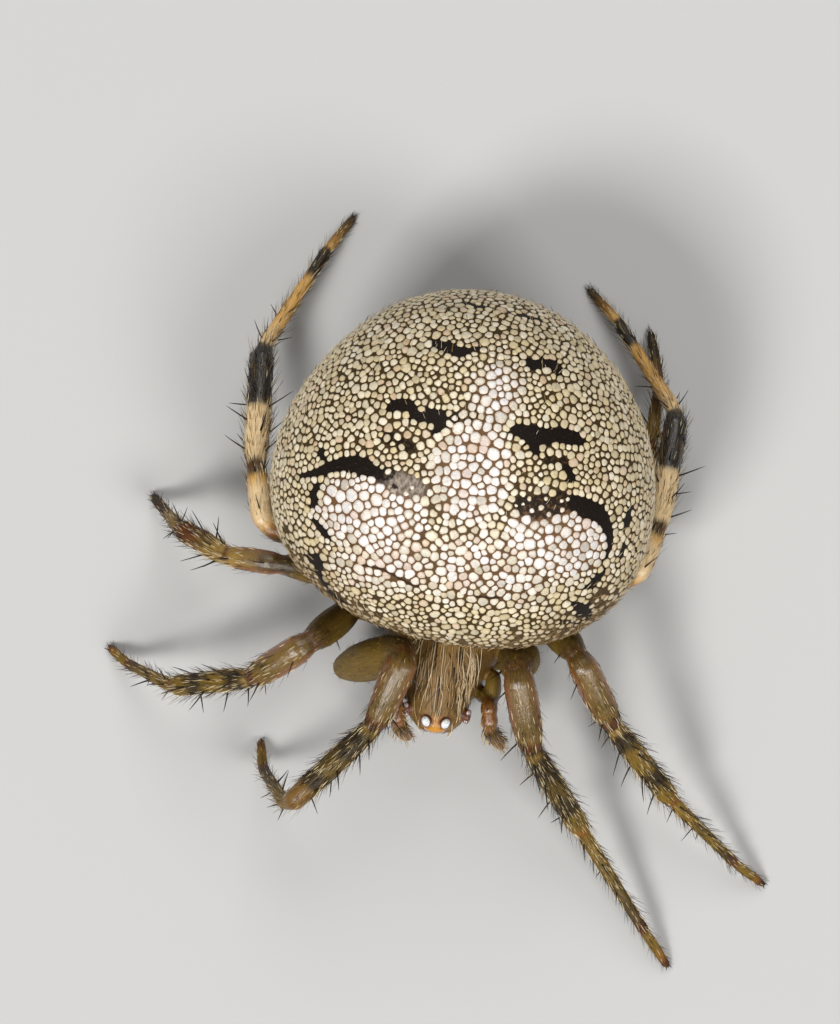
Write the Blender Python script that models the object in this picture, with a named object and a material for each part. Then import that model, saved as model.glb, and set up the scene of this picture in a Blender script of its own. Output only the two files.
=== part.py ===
"""Life-size female butterfly orb weaver, a globe-bellied spider 8 mm long, standing still.

The head faces -Y, the spider's left side is +X and the floor is z = 0.
Sizes and places are written in millimetres, and the meshes are made in metres.
"""

import math
import random

import bmesh
import bpy
from mathutils import Vector

MM = 0.001

# Face-to-face gap between neighbouring pieces of so small an animal
GAP = 0.04

# Abdomen: a globe with a flattened belly and a slanting front that clears the carapace
ABDOMEN_CENTRE = Vector((0.04, 0.0, 3.35))
ABDOMEN_HALF_WIDTH = 3.43
ABDOMEN_FRONT = 3.42
ABDOMEN_REAR = 3.30
ABDOMEN_TOP = 2.75
ABDOMEN_BELLY = 2.75
FRONT_SLANT_DEPTH = 2.0
FRONT_SLANT_DIRECTION = Vector((0.0, -0.6, -0.8))
FLATTENING = 7
# Direction and height of each swelling or hollow: the two shoulders, then those round the rim
BULGES = (
    ((-0.55, -0.36, 0.75), 0.10),
    ((0.58, -0.35, 0.74), 0.10),
    ((-0.93, -0.38, 0.00), 0.17),
    ((0.88, -0.47, 0.00), 0.19),
    ((0.60, -0.80, 0.00), 0.10),
    ((-0.10, -0.99, 0.00), -0.15),
    ((-0.82, 0.57, 0.00), -0.11),
    ((0.80, 0.60, 0.00), -0.07),
)
BULGE_WIDTH_DEG = 26
ABDOMEN_SEGMENTS = 44
ABDOMEN_RINGS = 22

# Prosoma: the carapace above, the sternum and mouth parts below
PROSOMA_X = 0.08
# y, half-width, top, margin height, half-width under the margin, bottom
PROSOMA_SECTIONS = (
    (-4.82, 0.18, 1.80, 1.66, 0.15, 1.50),
    (-4.77, 0.34, 1.94, 1.62, 0.30, 1.40),
    (-4.64, 0.47, 2.06, 1.59, 0.43, 1.34),
    (-4.45, 0.55, 2.14, 1.56, 0.51, 1.30),
    (-4.10, 0.62, 2.23, 1.52, 0.54, 1.28),
    (-3.86, 0.73, 2.27, 1.47, 0.50, 0.88),
    (-3.50, 0.94, 2.29, 1.44, 0.66, 0.78),
    (-3.00, 1.20, 2.26, 1.43, 0.76, 0.74),
    (-2.50, 1.33, 2.19, 1.42, 0.76, 0.74),
    (-2.10, 1.29, 2.08, 1.42, 0.66, 0.76),
    (-1.75, 1.03, 1.88, 1.41, 0.46, 0.82),
    (-1.55, 0.68, 1.66, 1.38, 0.32, 0.94),
    (-1.44, 0.34, 1.48, 1.34, 0.22, 1.12),
)
MARGIN_THICKNESS = 0.10
# How far the margin's lower edge stands in and up from its outer corner
MARGIN_TUCK_SHARE = 0.96
MARGIN_TUCK_RISE = 0.03
# Half-width of the sternum at half its depth and at its lower edge, as shares of that under the margin
STERNUM_SHARES = (0.97, 0.72)
STERNUM_EDGE_RISE = 0.04
DOME_STEPS = 6

# Eyes: x from the middle of the head, y, z and radius
EYES = {
    "front_median": (0.15, -4.775, 1.90, 0.070),
    "rear_median": (0.18, -4.650, 2.060, 0.092),
    "front_lateral": (0.545, -4.560, 1.84, 0.055),
    "rear_lateral": (0.575, -4.400, 1.90, 0.055),
}
SOCKET_GAP = 0.02
BALL_SEGMENTS = 10
BALL_RINGS = 6

# Pedicel, chelicerae, palps and spinnerets
PEDICEL_RADIUS = 0.19
PEDICEL_DIRECTION = Vector((0.0, -1.05, -1.60))
PEDICEL_START_HEIGHT = 1.32
PEDICEL_RISE = 0.05
PEDICEL_BEND = 0.06
# Segment, fraction of its length, and share of the radius. A last ring faces the abdomen squarely
PEDICEL_PROFILE = ((0, 0.0, 0.80), (0, 0.5, 1.0), (1, 0.3, 1.0))
CHELICERA_RADIUS = 0.235
CHELICERA_CORNERS = (
    Vector((0.26, -4.38, 1.24)),
    Vector((0.26, -4.50, 0.92)),
    Vector((0.21, -4.46, 0.52)),
)
CHELICERA_BENDS = (0.12,)
CHELICERA_PROFILE = (
    (0, 0.0, 0.80), (0, 0.5, 1.0),
    (1, 0.2, 1.0), (1, 0.6, 0.80), (1, 0.88, 0.52), (1, 1.0, 0.25),
)
PALP_CORNERS = {
    "L": (
        (0.44, -3.98, 1.02),
        (0.80, -4.00, 1.12),
        (1.00, -4.10, 1.98),
        (1.08, -4.66, 1.84),
        (1.37, -4.98, 1.20),
    ),
    "R": (
        (-0.28, -3.98, 1.02),
        (-0.62, -4.06, 1.12),
        (-0.76, -4.30, 1.92),
        (-0.60, -4.79, 1.74),
        (-0.36, -5.03, 1.16),
    ),
}
PALP_RADIUS = 0.19
PALP_BENDS = (0.12, 0.22, 0.16)
PALP_PROFILE = (
    (0, 0.0, 0.80), (0, 0.5, 0.90),
    (1, 0.10, 0.75), (1, 0.4, 0.88), (1, 0.75, 0.86),
    (2, 0.10, 0.90), (2, 0.35, 1.0), (2, 0.70, 1.0),
    (3, 0.10, 0.92), (3, 0.40, 0.88), (3, 0.72, 0.70), (3, 0.92, 0.42), (3, 1.0, 0.20),
)
SPINNERET_DIRECTION = Vector((0.0, 1.75, -2.45))
SPINNERET_LENGTH = 0.30
SPINNERET_RADIUS = 0.15
SPINNERET_RING = 0.20
SPINNERET_COUNT = 6
SPINNERET_SIDES = 7
# Depth of the cones' feet in the mound, and how far foot and tip of each cone stand in from the ring
SPINNERET_FOOT_DEPTH = 0.05
SPINNERET_FOOT_SHARE = 0.90
SPINNERET_TIP_SHARE = 0.80
# Fraction of a cone's length, and share of its radius
SPINNERET_PROFILE = ((0.0, 0.80), (0.55, 0.70), (0.88, 0.50), (1.0, 0.25))
# Depth below the abdomen and radius of the mound that the cones stand on
MOUND_CLEARANCE = 0.07
MOUND_PROFILE = ((0.0, 0.34), (0.07, 0.33), (0.13, 0.24))

# Where each leg's joints stand: coxa root, trochanter, knee, end of patella,
# end of tibia, end of metatarsus and tip
LEG_JOINTS = {
    "L1": ((0.88, -3.40, 0.98), (1.50, -3.20, 1.02), (1.41, -3.42, 2.95), (1.87, -4.90, 2.35),
           (2.99, -6.30, 1.15), (4.42, -8.05, 0.42), (4.93, -8.65, 0.065)),
    "L2": ((0.97, -2.84, 0.98), (1.85, -2.52, 1.00), (2.48, -3.07, 2.80), (3.28, -4.27, 2.15),
           (4.57, -5.54, 1.15), (5.93, -6.59, 0.40), (6.50, -6.92, 0.065)),
    "L3": ((0.95, -2.28, 0.98), (1.55, -2.02, 0.95), (2.78, -1.15, 1.00), (3.14, -0.12, 1.08),
           (3.38, 0.95, 0.80), (3.41, 2.03, 0.40), (3.13, 3.00, 0.065)),
    "L4": ((0.62, -1.76, 1.00), (1.26, -1.30, 1.08), (3.37, -1.67, 2.00), (3.68, -0.56, 1.75),
           (3.80, 1.51, 1.22), (2.50, 3.09, 0.42), (1.89, 3.64, 0.065)),
    "R1": ((-0.72, -3.44, 0.98), (-1.78, -3.90, 1.10), (-0.59, -3.38, 3.10), (-1.02, -4.82, 2.70),
           (-2.43, -6.52, 2.40), (-2.98, -5.93, 0.45), (-3.09, -5.42, 0.065)),
    "R2": ((-0.81, -2.87, 0.98), (-1.66, -2.74, 1.05), (-2.38, -3.46, 3.20), (-3.34, -4.24, 2.55),
           (-4.81, -4.61, 1.50), (-5.71, -4.32, 0.40), (-6.10, -4.06, 0.065)),
    "R3": ((-0.79, -2.30, 0.98), (-1.38, -2.20, 1.00), (-3.06, -2.13, 2.50), (-4.13, -2.10, 2.15),
           (-5.03, -1.70, 1.60), (-5.39, -1.41, 0.50), (-5.64, -1.18, 0.065)),
    "R4": ((-0.46, -1.76, 1.00), (-1.12, -1.34, 1.06), (-3.48, -1.56, 1.95), (-3.80, -0.35, 1.75),
           (-3.95, 1.76, 1.15), (-3.00, 3.73, 0.42), (-2.58, 4.43, 0.065)),
}
# How far each femur bows up from the straight line between its joints
FEMUR_BOW = {
    "L1": 0.10, "L2": 0.10, "L3": -0.08, "L4": 0.14,
    "R1": 0.10, "R2": 0.10, "R3": 0.10, "R4": 0.10,
}
# Radius of coxa, femur, patella, tibia, metatarsus and tarsus, with the close coat
LEG_RADII = {
    "1": (0.24, 0.40, 0.325, 0.250, 0.155, 0.125),
    "2": (0.24, 0.33, 0.305, 0.235, 0.148, 0.120),
    "3": (0.23, 0.28, 0.235, 0.235, 0.150, 0.125),
    "4": (0.23, 0.29, 0.250, 0.260, 0.160, 0.120),
}
# Along each segment: fraction of its length, and share of its radius
COXA_PROFILE = ((0.0, 0.90), (0.45, 1.0), (0.80, 0.92))
FEMUR_PROFILE = ((0.14, 0.70), (0.28, 0.92), (0.50, 1.0), (0.72, 0.94), (0.88, 0.76))
PATELLA_PROFILE = ((0.10, 0.86), (0.32, 1.0), (0.62, 0.98), (0.84, 0.84))
TIBIA_PROFILE = ((0.0, 0.82), (0.10, 0.90), (0.30, 1.0), (0.60, 1.0), (0.86, 0.94))
METATARSUS_PROFILE = ((0.08, 1.0), (0.35, 0.98), (0.65, 0.86), (0.92, 0.80))
TARSUS_PROFILE = ((0.0, 0.98), (0.22, 1.0), (0.50, 0.92), (0.78, 0.76), (0.93, 0.60), (1.0, 0.36))
TROCHANTER_SHARE = 0.58
KNEE_SHARE = 0.74
ANKLE_SHARE = 0.80
# Straight length that each joint's bend takes up on both sides of it
BENDS = (0.22, 0.36, 0.22, 0.28, 0.16)
TUBE_SIDES = 10
# How deep each foot is pressed flat, and the height over which the leg gives way to that
FOOT_FLAT = 0.03
FOOT_BLEND = 0.40

# Spines: fraction of the segment's length, and degrees round the leg from its upper side
SPINES = {
    "femur": ((0.60, 40), (0.80, -35)),
    "patella": ((0.34, 8), (0.88, -10)),
    "tibia": (
        (0.20, 62), (0.26, -66), (0.44, 12), (0.54, 98),
        (0.60, -92), (0.74, -18), (0.86, 58), (0.90, -62),
    ),
    "metatarsus": ((0.12, 74), (0.17, -78), (0.40, 30), (0.52, 88), (0.60, -70)),
}
# How many of those each leg pair carries on femur, patella, tibia and metatarsus
SPINE_COUNTS = {"1": (2, 2, 8, 5), "2": (2, 2, 8, 5), "3": (0, 1, 5, 2), "4": (1, 2, 6, 3)}
SPINE_LENGTHS = {"femur": 0.36, "patella": 0.40, "tibia": 0.55, "metatarsus": 0.44}
SPINE_LENGTH_VARIATION = 0.18
SPINE_RADIUS = 0.042
SPINE_TIP_RADIUS = 0.020
SPINE_ROOT_DEPTH = 0.12
SPINE_LEAN_DEG = 62
SPINE_LEAN_VARIATION_DEG = 12
SPINE_TURN_VARIATION_DEG = 8
# How far a spine's tip curves along the leg, as a share of its length
SPINE_CURVE = 0.08
SPINE_SIDES = 4
CLAW_LENGTH = 0.13
CLAW_ROOT_DEPTH = 0.08
CLAW_RAISE = 0.02
CLAW_SPREAD = 0.45
CLAW_HOOK = 0.04
CLEARANCE = 0.12
SEED = 8

# Base colour and roughness of each kind of surface
COLOURS = {
    "abdomen": ((0.72, 0.64, 0.52), 0.38),
    "carapace": ((0.22, 0.13, 0.05), 0.45),
    "femur": ((0.24, 0.18, 0.06), 0.50),
    "tibia": ((0.20, 0.10, 0.04), 0.35),
    "tarsus": ((0.34, 0.22, 0.09), 0.50),
    "eye": ((0.05, 0.02, 0.01), 0.08),
    "mouthparts": ((0.26, 0.12, 0.04), 0.40),
}


def make_material(name):
    colour, roughness = COLOURS[name]
    material = bpy.data.materials.new(name)
    material.use_nodes = True
    shader = material.node_tree.nodes["Principled BSDF"]
    shader.inputs["Base Color"].default_value = (*colour, 1.0)
    shader.inputs["Roughness"].default_value = roughness
    shader.inputs["Metallic"].default_value = 0.0
    return material


def make_node(name, points, faces, material):
    """One closed, smooth-shaded mesh object from points in millimetres."""
    mesh = bpy.data.meshes.new(name)
    mesh.from_pydata([Vector(point) * MM for point in points], [], faces)
    shell = bmesh.new()
    shell.from_mesh(mesh)
    bmesh.ops.recalc_face_normals(shell, faces=shell.faces)
    shell.to_mesh(mesh)
    shell.free()
    mesh.shade_smooth()
    if material:
        mesh.materials.append(material)
    obj = bpy.data.objects.new(name, mesh)
    bpy.context.collection.objects.link(obj)
    return obj


def bridge_rings(rings):
    """Points and faces of a closed skin over rings of equal length, capped at both ends."""
    sides = len(rings[0])
    points = [point for ring in rings for point in ring]
    faces = []
    for low in range(0, (len(rings) - 1) * sides, sides):
        for side in range(sides):
            after = (side + 1) % sides
            faces.append((low + side, low + after, low + sides + after, low + sides + side))
    last = len(points) - sides
    faces.append(tuple(reversed(range(sides))))
    faces.append(tuple(range(last, last + sides)))
    return points, faces


def tube_rings(stations, sides=TUBE_SIDES):
    """Rings of points square to the path. Each station is its point, direction and radius."""
    across = stations[0][1].orthogonal().normalized()
    rings = []
    for centre, direction, radius in stations:
        across = (across - direction * across.dot(direction)).normalized()
        other = direction.cross(across)
        ring = []
        for side in range(sides):
            turn = 2 * math.pi * side / sides
            ring.append(centre + radius * (across * math.cos(turn) + other * math.sin(turn)))
        rings.append(ring)
    return rings


class BentPath:
    """A path through corners, with a circular arc in place of each inner corner."""

    def __init__(self, corners, bends):
        self.corners = [Vector(corner) for corner in corners]
        self.runs = [after - before for before, after in zip(self.corners, self.corners[1:])]
        self.bends = [0.0, *bends, 0.0]

    def at(self, segment, fraction):
        """Point and direction at a fraction of one segment's length."""
        run = self.runs[segment]
        length = run.length
        before, after = self.bends[segment], self.bends[segment + 1]
        if fraction * length < before:
            return self.on_arc(segment, 0.5 + 0.5 * fraction * length / before)
        if (1 - fraction) * length < after:
            return self.on_arc(segment + 1, 0.5 - 0.5 * (1 - fraction) * length / after)
        return self.corners[segment] + run * fraction, run.normalized()

    def on_arc(self, corner, share):
        """Point and direction at a share of the arc that rounds a corner."""
        inward = self.runs[corner - 1].normalized()
        outward = self.runs[corner].normalized()
        turn = inward.angle(outward)
        if turn < 0.01:
            shift = self.bends[corner] * (2 * share - 1)
            return self.corners[corner] + inward * shift, inward
        sideways = (outward - inward * inward.dot(outward)).normalized()
        radius = self.bends[corner] / math.tan(turn / 2)
        centre = self.corners[corner] - inward * self.bends[corner] + sideways * radius
        angle = turn * share
        point = centre + radius * (inward * math.sin(angle) - sideways * math.cos(angle))
        return point, inward * math.cos(angle) + sideways * math.sin(angle)


def leg_stations(path, segment, profile, radius, bow=0.0):
    """Tube stations along one segment of a leg."""
    stations = []
    for fraction, share in profile:
        point, direction = path.at(segment, fraction)
        lift = Vector((0, 0, 4 * bow * fraction * (1 - fraction)))
        stations.append((point + lift, direction, radius * share))
    return stations


def split_stations(path, joint, radius):
    """The last station before a joint and the first one after it, with the gap between them."""
    point, direction = path.on_arc(joint, 0.5)
    half = direction * GAP / 2
    return (point - half, direction, radius), (point + half, direction, radius)


def radius_at(profile, radius, fraction):
    """Radius of a segment at a fraction of its length, between the stations of its profile."""
    for (low, low_share), (high, high_share) in zip(profile, profile[1:]):
        if fraction <= high:
            mix = (fraction - low) / (high - low)
            return radius * (low_share + mix * (high_share - low_share))
    return radius * profile[-1][1]


def spine_is_clear(tip):
    """Whether a spine's tip stays off the abdomen and the floor."""
    reach = tip - ABDOMEN_CENTRE
    return tip.z > CLEARANCE and reach.length > abdomen_reach(reach.normalized()) + CLEARANCE


def make_spine(root, direction, length, bend):
    """A tapering spine of four sides, curved a little along the leg, as a closed mesh object."""
    across = direction.orthogonal().normalized()
    other = direction.cross(across)
    middle = root + direction * length * 0.5
    tip = root + direction * length + bend
    points = []
    for centre, radius in ((root, SPINE_RADIUS), (middle, SPINE_TIP_RADIUS)):
        for side in range(SPINE_SIDES):
            turn = 2 * math.pi * side / SPINE_SIDES
            points.append(centre + radius * (across * math.cos(turn) + other * math.sin(turn)))
    points.append(tip)
    faces = [tuple(reversed(range(SPINE_SIDES)))]
    for side in range(SPINE_SIDES):
        after = (side + 1) % SPINE_SIDES
        faces.append((side, after, SPINE_SIDES + after, SPINE_SIDES + side))
        faces.append((SPINE_SIDES + side, SPINE_SIDES + after, 2 * SPINE_SIDES))
    return make_node("spine", points, faces, None)


def segment_spines(dice, path, segment, kind, count, profile, radius, bow=0.0):
    """The spines of one leg segment, each with its root sunk in the segment."""
    spines = []
    for fraction, turn_deg in SPINES[kind][:count]:
        point, direction = path.at(segment, fraction)
        point = point + Vector((0, 0, 4 * bow * fraction * (1 - fraction)))
        upward = (Vector((0, 0, 1)) - direction * direction.z).normalized()
        turn = math.radians(turn_deg + dice.uniform(-1, 1) * SPINE_TURN_VARIATION_DEG)
        outward = upward * math.cos(turn) + direction.cross(upward) * math.sin(turn)
        lean = math.radians(SPINE_LEAN_DEG + dice.uniform(-1, 1) * SPINE_LEAN_VARIATION_DEG)
        heading = direction * math.cos(lean) + outward * math.sin(lean)
        length = SPINE_LENGTHS[kind] * (1 + dice.uniform(-1, 1) * SPINE_LENGTH_VARIATION)
        surface = point + outward * radius_at(profile, radius, fraction)
        tip = surface + heading * length
        if spine_is_clear(tip):
            root = surface - heading * SPINE_ROOT_DEPTH
            bend = direction * length * SPINE_CURVE
            spines.append(make_spine(root, heading, length + SPINE_ROOT_DEPTH, bend))
    return spines


def press_foot(points):
    """Lowers the end of a leg onto the floor and flattens what touches it."""
    low = min(point.z for point in points)
    pressed = []
    for point in points:
        give = max(0.0, 1 - (point.z - low) / FOOT_BLEND)
        height = point.z - (low + FOOT_FLAT) * give
        pressed.append(Vector((point.x, point.y, max(height, 0.0))))
    return pressed


def claws(path):
    """The pair of hooked claws at the tip of a leg."""
    tip, direction = path.at(5, 1.0)
    level = Vector((direction.x, direction.y, 0)).normalized()
    sideways = level.cross(Vector((0, 0, 1)))
    root = tip - level * CLAW_ROOT_DEPTH + Vector((0, 0, CLAW_RAISE))
    pair = []
    for side in (-1, 1):
        heading = (level + sideways * side * CLAW_SPREAD).normalized()
        pair.append(make_spine(root, heading, CLAW_LENGTH + CLAW_ROOT_DEPTH, Vector((0, 0, -CLAW_HOOK))))
    return pair


def add_leg(name, materials):
    """A leg in four nodes: coxa, femur, patella with tibia, and metatarsus with tarsus."""
    coxa, femur, patella, tibia, metatarsus, tarsus = LEG_RADII[name[1]]
    path = BentPath(LEG_JOINTS[name], BENDS)
    coxa_end, femur_start = split_stations(path, 1, TROCHANTER_SHARE * (coxa + femur) / 2)
    knee_end, knee_start = split_stations(path, 2, KNEE_SHARE * (femur + patella) / 2)
    ankle_end, ankle_start = split_stations(path, 4, ANKLE_SHARE * (tibia + metatarsus) / 2)
    root = leg_stations(path, 0, COXA_PROFILE, coxa)
    upper = leg_stations(path, 1, FEMUR_PROFILE, femur, FEMUR_BOW[name])
    middle = leg_stations(path, 2, PATELLA_PROFILE, patella)
    middle += leg_stations(path, 3, TIBIA_PROFILE, tibia)
    lower = leg_stations(path, 4, METATARSUS_PROFILE, metatarsus)
    lower += leg_stations(path, 5, TARSUS_PROFILE, tarsus)
    dice = random.Random(f"{name} {SEED}")
    counts = SPINE_COUNTS[name[1]]
    bow = FEMUR_BOW[name]
    femur_spines = segment_spines(dice, path, 1, "femur", counts[0], FEMUR_PROFILE, femur, bow)
    middle_spines = segment_spines(dice, path, 2, "patella", counts[1], PATELLA_PROFILE, patella)
    middle_spines += segment_spines(dice, path, 3, "tibia", counts[2], TIBIA_PROFILE, tibia)
    lower_spines = segment_spines(dice, path, 4, "metatarsus", counts[3], METATARSUS_PROFILE, metatarsus)
    lower_spines += claws(path)
    pieces = (
        ("coxa", "femur", [*root, coxa_end], []),
        ("femur", "femur", [femur_start, *upper, knee_end], femur_spines),
        ("tibia", "tibia", [knee_start, *middle, ankle_end], middle_spines),
        ("tarsus", "tarsus", [ankle_start, *lower], lower_spines),
    )
    for piece, material, stations, spines in pieces:
        points, faces = bridge_rings(tube_rings(stations))
        if piece == "tarsus":
            points = press_foot(points)
        body = make_node(f"leg_{name}_{piece}", points, faces, materials[material])
        if spines:
            fuse([body, *spines])


def abdomen_reach(direction):
    """Distance from the abdomen's centre to its surface."""
    length = ABDOMEN_FRONT if direction.y < 0 else ABDOMEN_REAR
    stretched = Vector((direction.x / ABDOMEN_HALF_WIDTH, direction.y / length, direction.z / ABDOMEN_TOP))
    limits = [1 / stretched.length]
    slant = direction.dot(FRONT_SLANT_DIRECTION)
    if slant > 0:
        limits.append(FRONT_SLANT_DEPTH / slant)
    if direction.z < 0:
        limits.append(ABDOMEN_BELLY / -direction.z)
    reach = sum(limit ** -FLATTENING for limit in limits) ** (-1 / FLATTENING)
    for middle, height in BULGES:
        offset = math.degrees(direction.angle(Vector(middle))) / BULGE_WIDTH_DEG
        reach += height * math.exp(-offset * offset)
    return reach


def abdomen_point(direction, outside=0.0):
    """A point on the abdomen, or outside it by a distance along the direction."""
    unit = direction.normalized()
    return ABDOMEN_CENTRE + unit * (abdomen_reach(unit) + outside)


def add_abdomen(material):
    rings = []
    for step in range(1, ABDOMEN_RINGS):
        polar = math.pi * step / ABDOMEN_RINGS
        ring = []
        for segment in range(ABDOMEN_SEGMENTS):
            turn = 2 * math.pi * segment / ABDOMEN_SEGMENTS
            level = math.sin(polar)
            direction = Vector((level * math.cos(turn), level * math.sin(turn), -math.cos(polar)))
            ring.append(abdomen_point(direction))
        rings.append(ring)
    points, faces = bridge_rings(rings)
    faces = faces[:-2]
    last = len(points) - ABDOMEN_SEGMENTS
    points += [abdomen_point(Vector((0, 0, -1))), abdomen_point(Vector((0, 0, 1)))]
    bottom, top = len(points) - 2, len(points) - 1
    for segment in range(ABDOMEN_SEGMENTS):
        after = (segment + 1) % ABDOMEN_SEGMENTS
        faces.append((bottom, after, segment))
        faces.append((top, last + segment, last + after))
    make_node("abdomen", points, faces, material)


def prosoma_ring(y, half_width, top, margin, under, bottom):
    """One cross-section: a domed carapace whose margin overhangs the sternum."""
    half = []
    for step in range(DOME_STEPS + 1):
        angle = math.pi / 2 * step / DOME_STEPS
        half.append((half_width * math.sin(angle), margin + (top - margin) * math.cos(angle)))
    lower_edge = margin - MARGIN_THICKNESS
    half.append((half_width * MARGIN_TUCK_SHARE, lower_edge + MARGIN_TUCK_RISE))
    half.append((under, lower_edge))
    half.append((under * STERNUM_SHARES[0], (lower_edge + bottom) / 2))
    half.append((under * STERNUM_SHARES[1], bottom + STERNUM_EDGE_RISE))
    half.append((0.0, bottom))
    right_side = [(PROSOMA_X + x, y, z) for x, z in half]
    left_side = [(PROSOMA_X - x, y, z) for x, z in reversed(half[1:-1])]
    return right_side + left_side


def cut_sockets(prosoma):
    """Cuts the hollow that each eye sits in, a little wider than the eye."""
    cutters = []
    for name, (x, y, z, radius) in EYES.items():
        for side in (-1, 1):
            centre = Vector((PROSOMA_X + side * x, y, z))
            cutters.append(add_ball(f"socket_{name}", centre, radius + SOCKET_GAP, None))
    for cutter in cutters:
        cut = prosoma.modifiers.new("socket", "BOOLEAN")
        cut.operation = "DIFFERENCE"
        cut.object = cutter
    apply_modifiers(prosoma)
    for cutter in cutters:
        bpy.data.objects.remove(cutter)


def apply_modifiers(obj):
    """Replaces the object's mesh by the one its modifiers give."""
    bpy.context.view_layer.update()
    evaluated = obj.evaluated_get(bpy.context.evaluated_depsgraph_get())
    mesh = bpy.data.meshes.new_from_object(evaluated)
    obj.modifiers.clear()
    obj.data = mesh


def add_prosoma(material):
    points, faces = bridge_rings([prosoma_ring(*section) for section in PROSOMA_SECTIONS])
    prosoma = make_node("prosoma", points, faces, material)
    cut_sockets(prosoma)


def add_ball(name, centre, radius, material):
    """A round ball of triangles and quads."""
    mesh = bpy.data.meshes.new(name)
    ball = bmesh.new()
    bmesh.ops.create_uvsphere(ball, u_segments=BALL_SEGMENTS, v_segments=BALL_RINGS, radius=radius * MM)
    ball.to_mesh(mesh)
    ball.free()
    mesh.shade_smooth()
    if material:
        mesh.materials.append(material)
    obj = bpy.data.objects.new(name, mesh)
    obj.location = centre * MM
    bpy.context.collection.objects.link(obj)
    return obj


def add_eyes(material):
    for name, (x, y, z, radius) in EYES.items():
        for side, label in ((1, "L"), (-1, "R")):
            add_ball(f"eye_{name}_{label}", Vector((PROSOMA_X + side * x, y, z)), radius, material)


def profile_stations(path, profile, radius):
    """Tube stations along a path, from rows of segment, fraction and share of the radius."""
    return [(*path.at(segment, fraction), radius * share) for segment, fraction, share in profile]


def add_pedicel(material):
    """The thin waist, from the rear of the prosoma to the slanting front of the abdomen."""
    rear_y = PROSOMA_SECTIONS[-1][0]
    start = Vector((PROSOMA_X, rear_y + GAP, PEDICEL_START_HEIGHT))
    end = abdomen_point(PEDICEL_DIRECTION, GAP)
    bend = Vector((PROSOMA_X, (start.y + end.y) / 2, start.z + PEDICEL_RISE))
    path = BentPath((start, bend, end), (PEDICEL_BEND,))
    stations = profile_stations(path, PEDICEL_PROFILE, PEDICEL_RADIUS)
    stations.append((end, -PEDICEL_DIRECTION.normalized(), PEDICEL_RADIUS))
    points, faces = bridge_rings(tube_rings(stations))
    make_node("pedicel", points, faces, material)


def add_chelicera(label, side, material):
    corners = [Vector((PROSOMA_X + side * corner.x, corner.y, corner.z)) for corner in CHELICERA_CORNERS]
    path = BentPath(corners, CHELICERA_BENDS)
    stations = profile_stations(path, CHELICERA_PROFILE, CHELICERA_RADIUS)
    points, faces = bridge_rings(tube_rings(stations))
    make_node(f"chelicera_{label}", points, faces, material)


def add_palp(label, material):
    path = BentPath(PALP_CORNERS[label], PALP_BENDS)
    stations = profile_stations(path, PALP_PROFILE, PALP_RADIUS)
    points, faces = bridge_rings(tube_rings(stations))
    make_node(f"palp_{label}", points, faces, material)


def add_spinnerets(material):
    """A ring of short cones on a low mound under the rear of the abdomen."""
    down = SPINNERET_DIRECTION.normalized()
    across = Vector((1, 0, 0))
    behind = down.cross(across)
    root = abdomen_point(SPINNERET_DIRECTION, MOUND_CLEARANCE)
    mound = [(root + down * depth, down, radius) for depth, radius in MOUND_PROFILE]
    pieces = [make_node("spinnerets", *bridge_rings(tube_rings(mound)), material)]
    for count in range(SPINNERET_COUNT):
        turn = 2 * math.pi * (count + 0.5) / SPINNERET_COUNT
        outward = (across * math.cos(turn) + behind * math.sin(turn)) * SPINNERET_RING
        foot = root + down * SPINNERET_FOOT_DEPTH + outward * SPINNERET_FOOT_SHARE
        depth = SPINNERET_FOOT_DEPTH + SPINNERET_LENGTH
        tip = root + down * depth + outward * SPINNERET_TIP_SHARE
        direction = (tip - foot).normalized()
        stations = [
            (foot.lerp(tip, fraction), direction, SPINNERET_RADIUS * share)
            for fraction, share in SPINNERET_PROFILE
        ]
        rings = tube_rings(stations, SPINNERET_SIDES)
        pieces.append(make_node("spinneret", *bridge_rings(rings), material))
    fuse(pieces)


def fuse(pieces):
    """Joins closed pieces into the first of them and keeps its largest surface."""
    body, *others = pieces
    extras = bpy.data.collections.new("extras")
    bpy.context.scene.collection.children.link(extras)
    for other in others:
        bpy.context.collection.objects.unlink(other)
        extras.objects.link(other)
    union = body.modifiers.new("union", "BOOLEAN")
    union.operation = "UNION"
    union.operand_type = "COLLECTION"
    union.collection = extras
    apply_modifiers(body)
    for other in others:
        bpy.data.objects.remove(other)
    bpy.data.collections.remove(extras)
    keep_largest_surface(body.data)


def keep_largest_surface(mesh):
    shell = bmesh.new()
    shell.from_mesh(mesh)
    unseen = set(shell.faces)
    surfaces = []
    while unseen:
        surface = [unseen.pop()]
        for face in surface:
            for edge in face.edges:
                for neighbour in edge.link_faces:
                    if neighbour in unseen:
                        unseen.remove(neighbour)
                        surface.append(neighbour)
        surfaces.append(surface)
    surfaces.sort(key=lambda surface: sum(face.calc_area() for face in surface))
    loose = [face for surface in surfaces[:-1] for face in surface]
    bmesh.ops.delete(shell, geom=loose, context="FACES")
    shell.to_mesh(mesh)
    shell.free()


def centre_on_floor():
    """Moves all pieces so that the middle of the footprint is the origin. The feet are already at z = 0."""
    bpy.context.view_layer.update()
    objects = [obj for obj in bpy.context.scene.objects if obj.type == "MESH"]
    corners = [obj.matrix_world @ vertex.co for obj in objects for vertex in obj.data.vertices]
    middle_x = (min(corner.x for corner in corners) + max(corner.x for corner in corners)) / 2
    middle_y = (min(corner.y for corner in corners) + max(corner.y for corner in corners)) / 2
    stance = bpy.data.objects.new("stance", None)
    bpy.context.collection.objects.link(stance)
    for obj in objects:
        obj.parent = stance
    stance.location = (-middle_x, -middle_y, 0)


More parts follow.
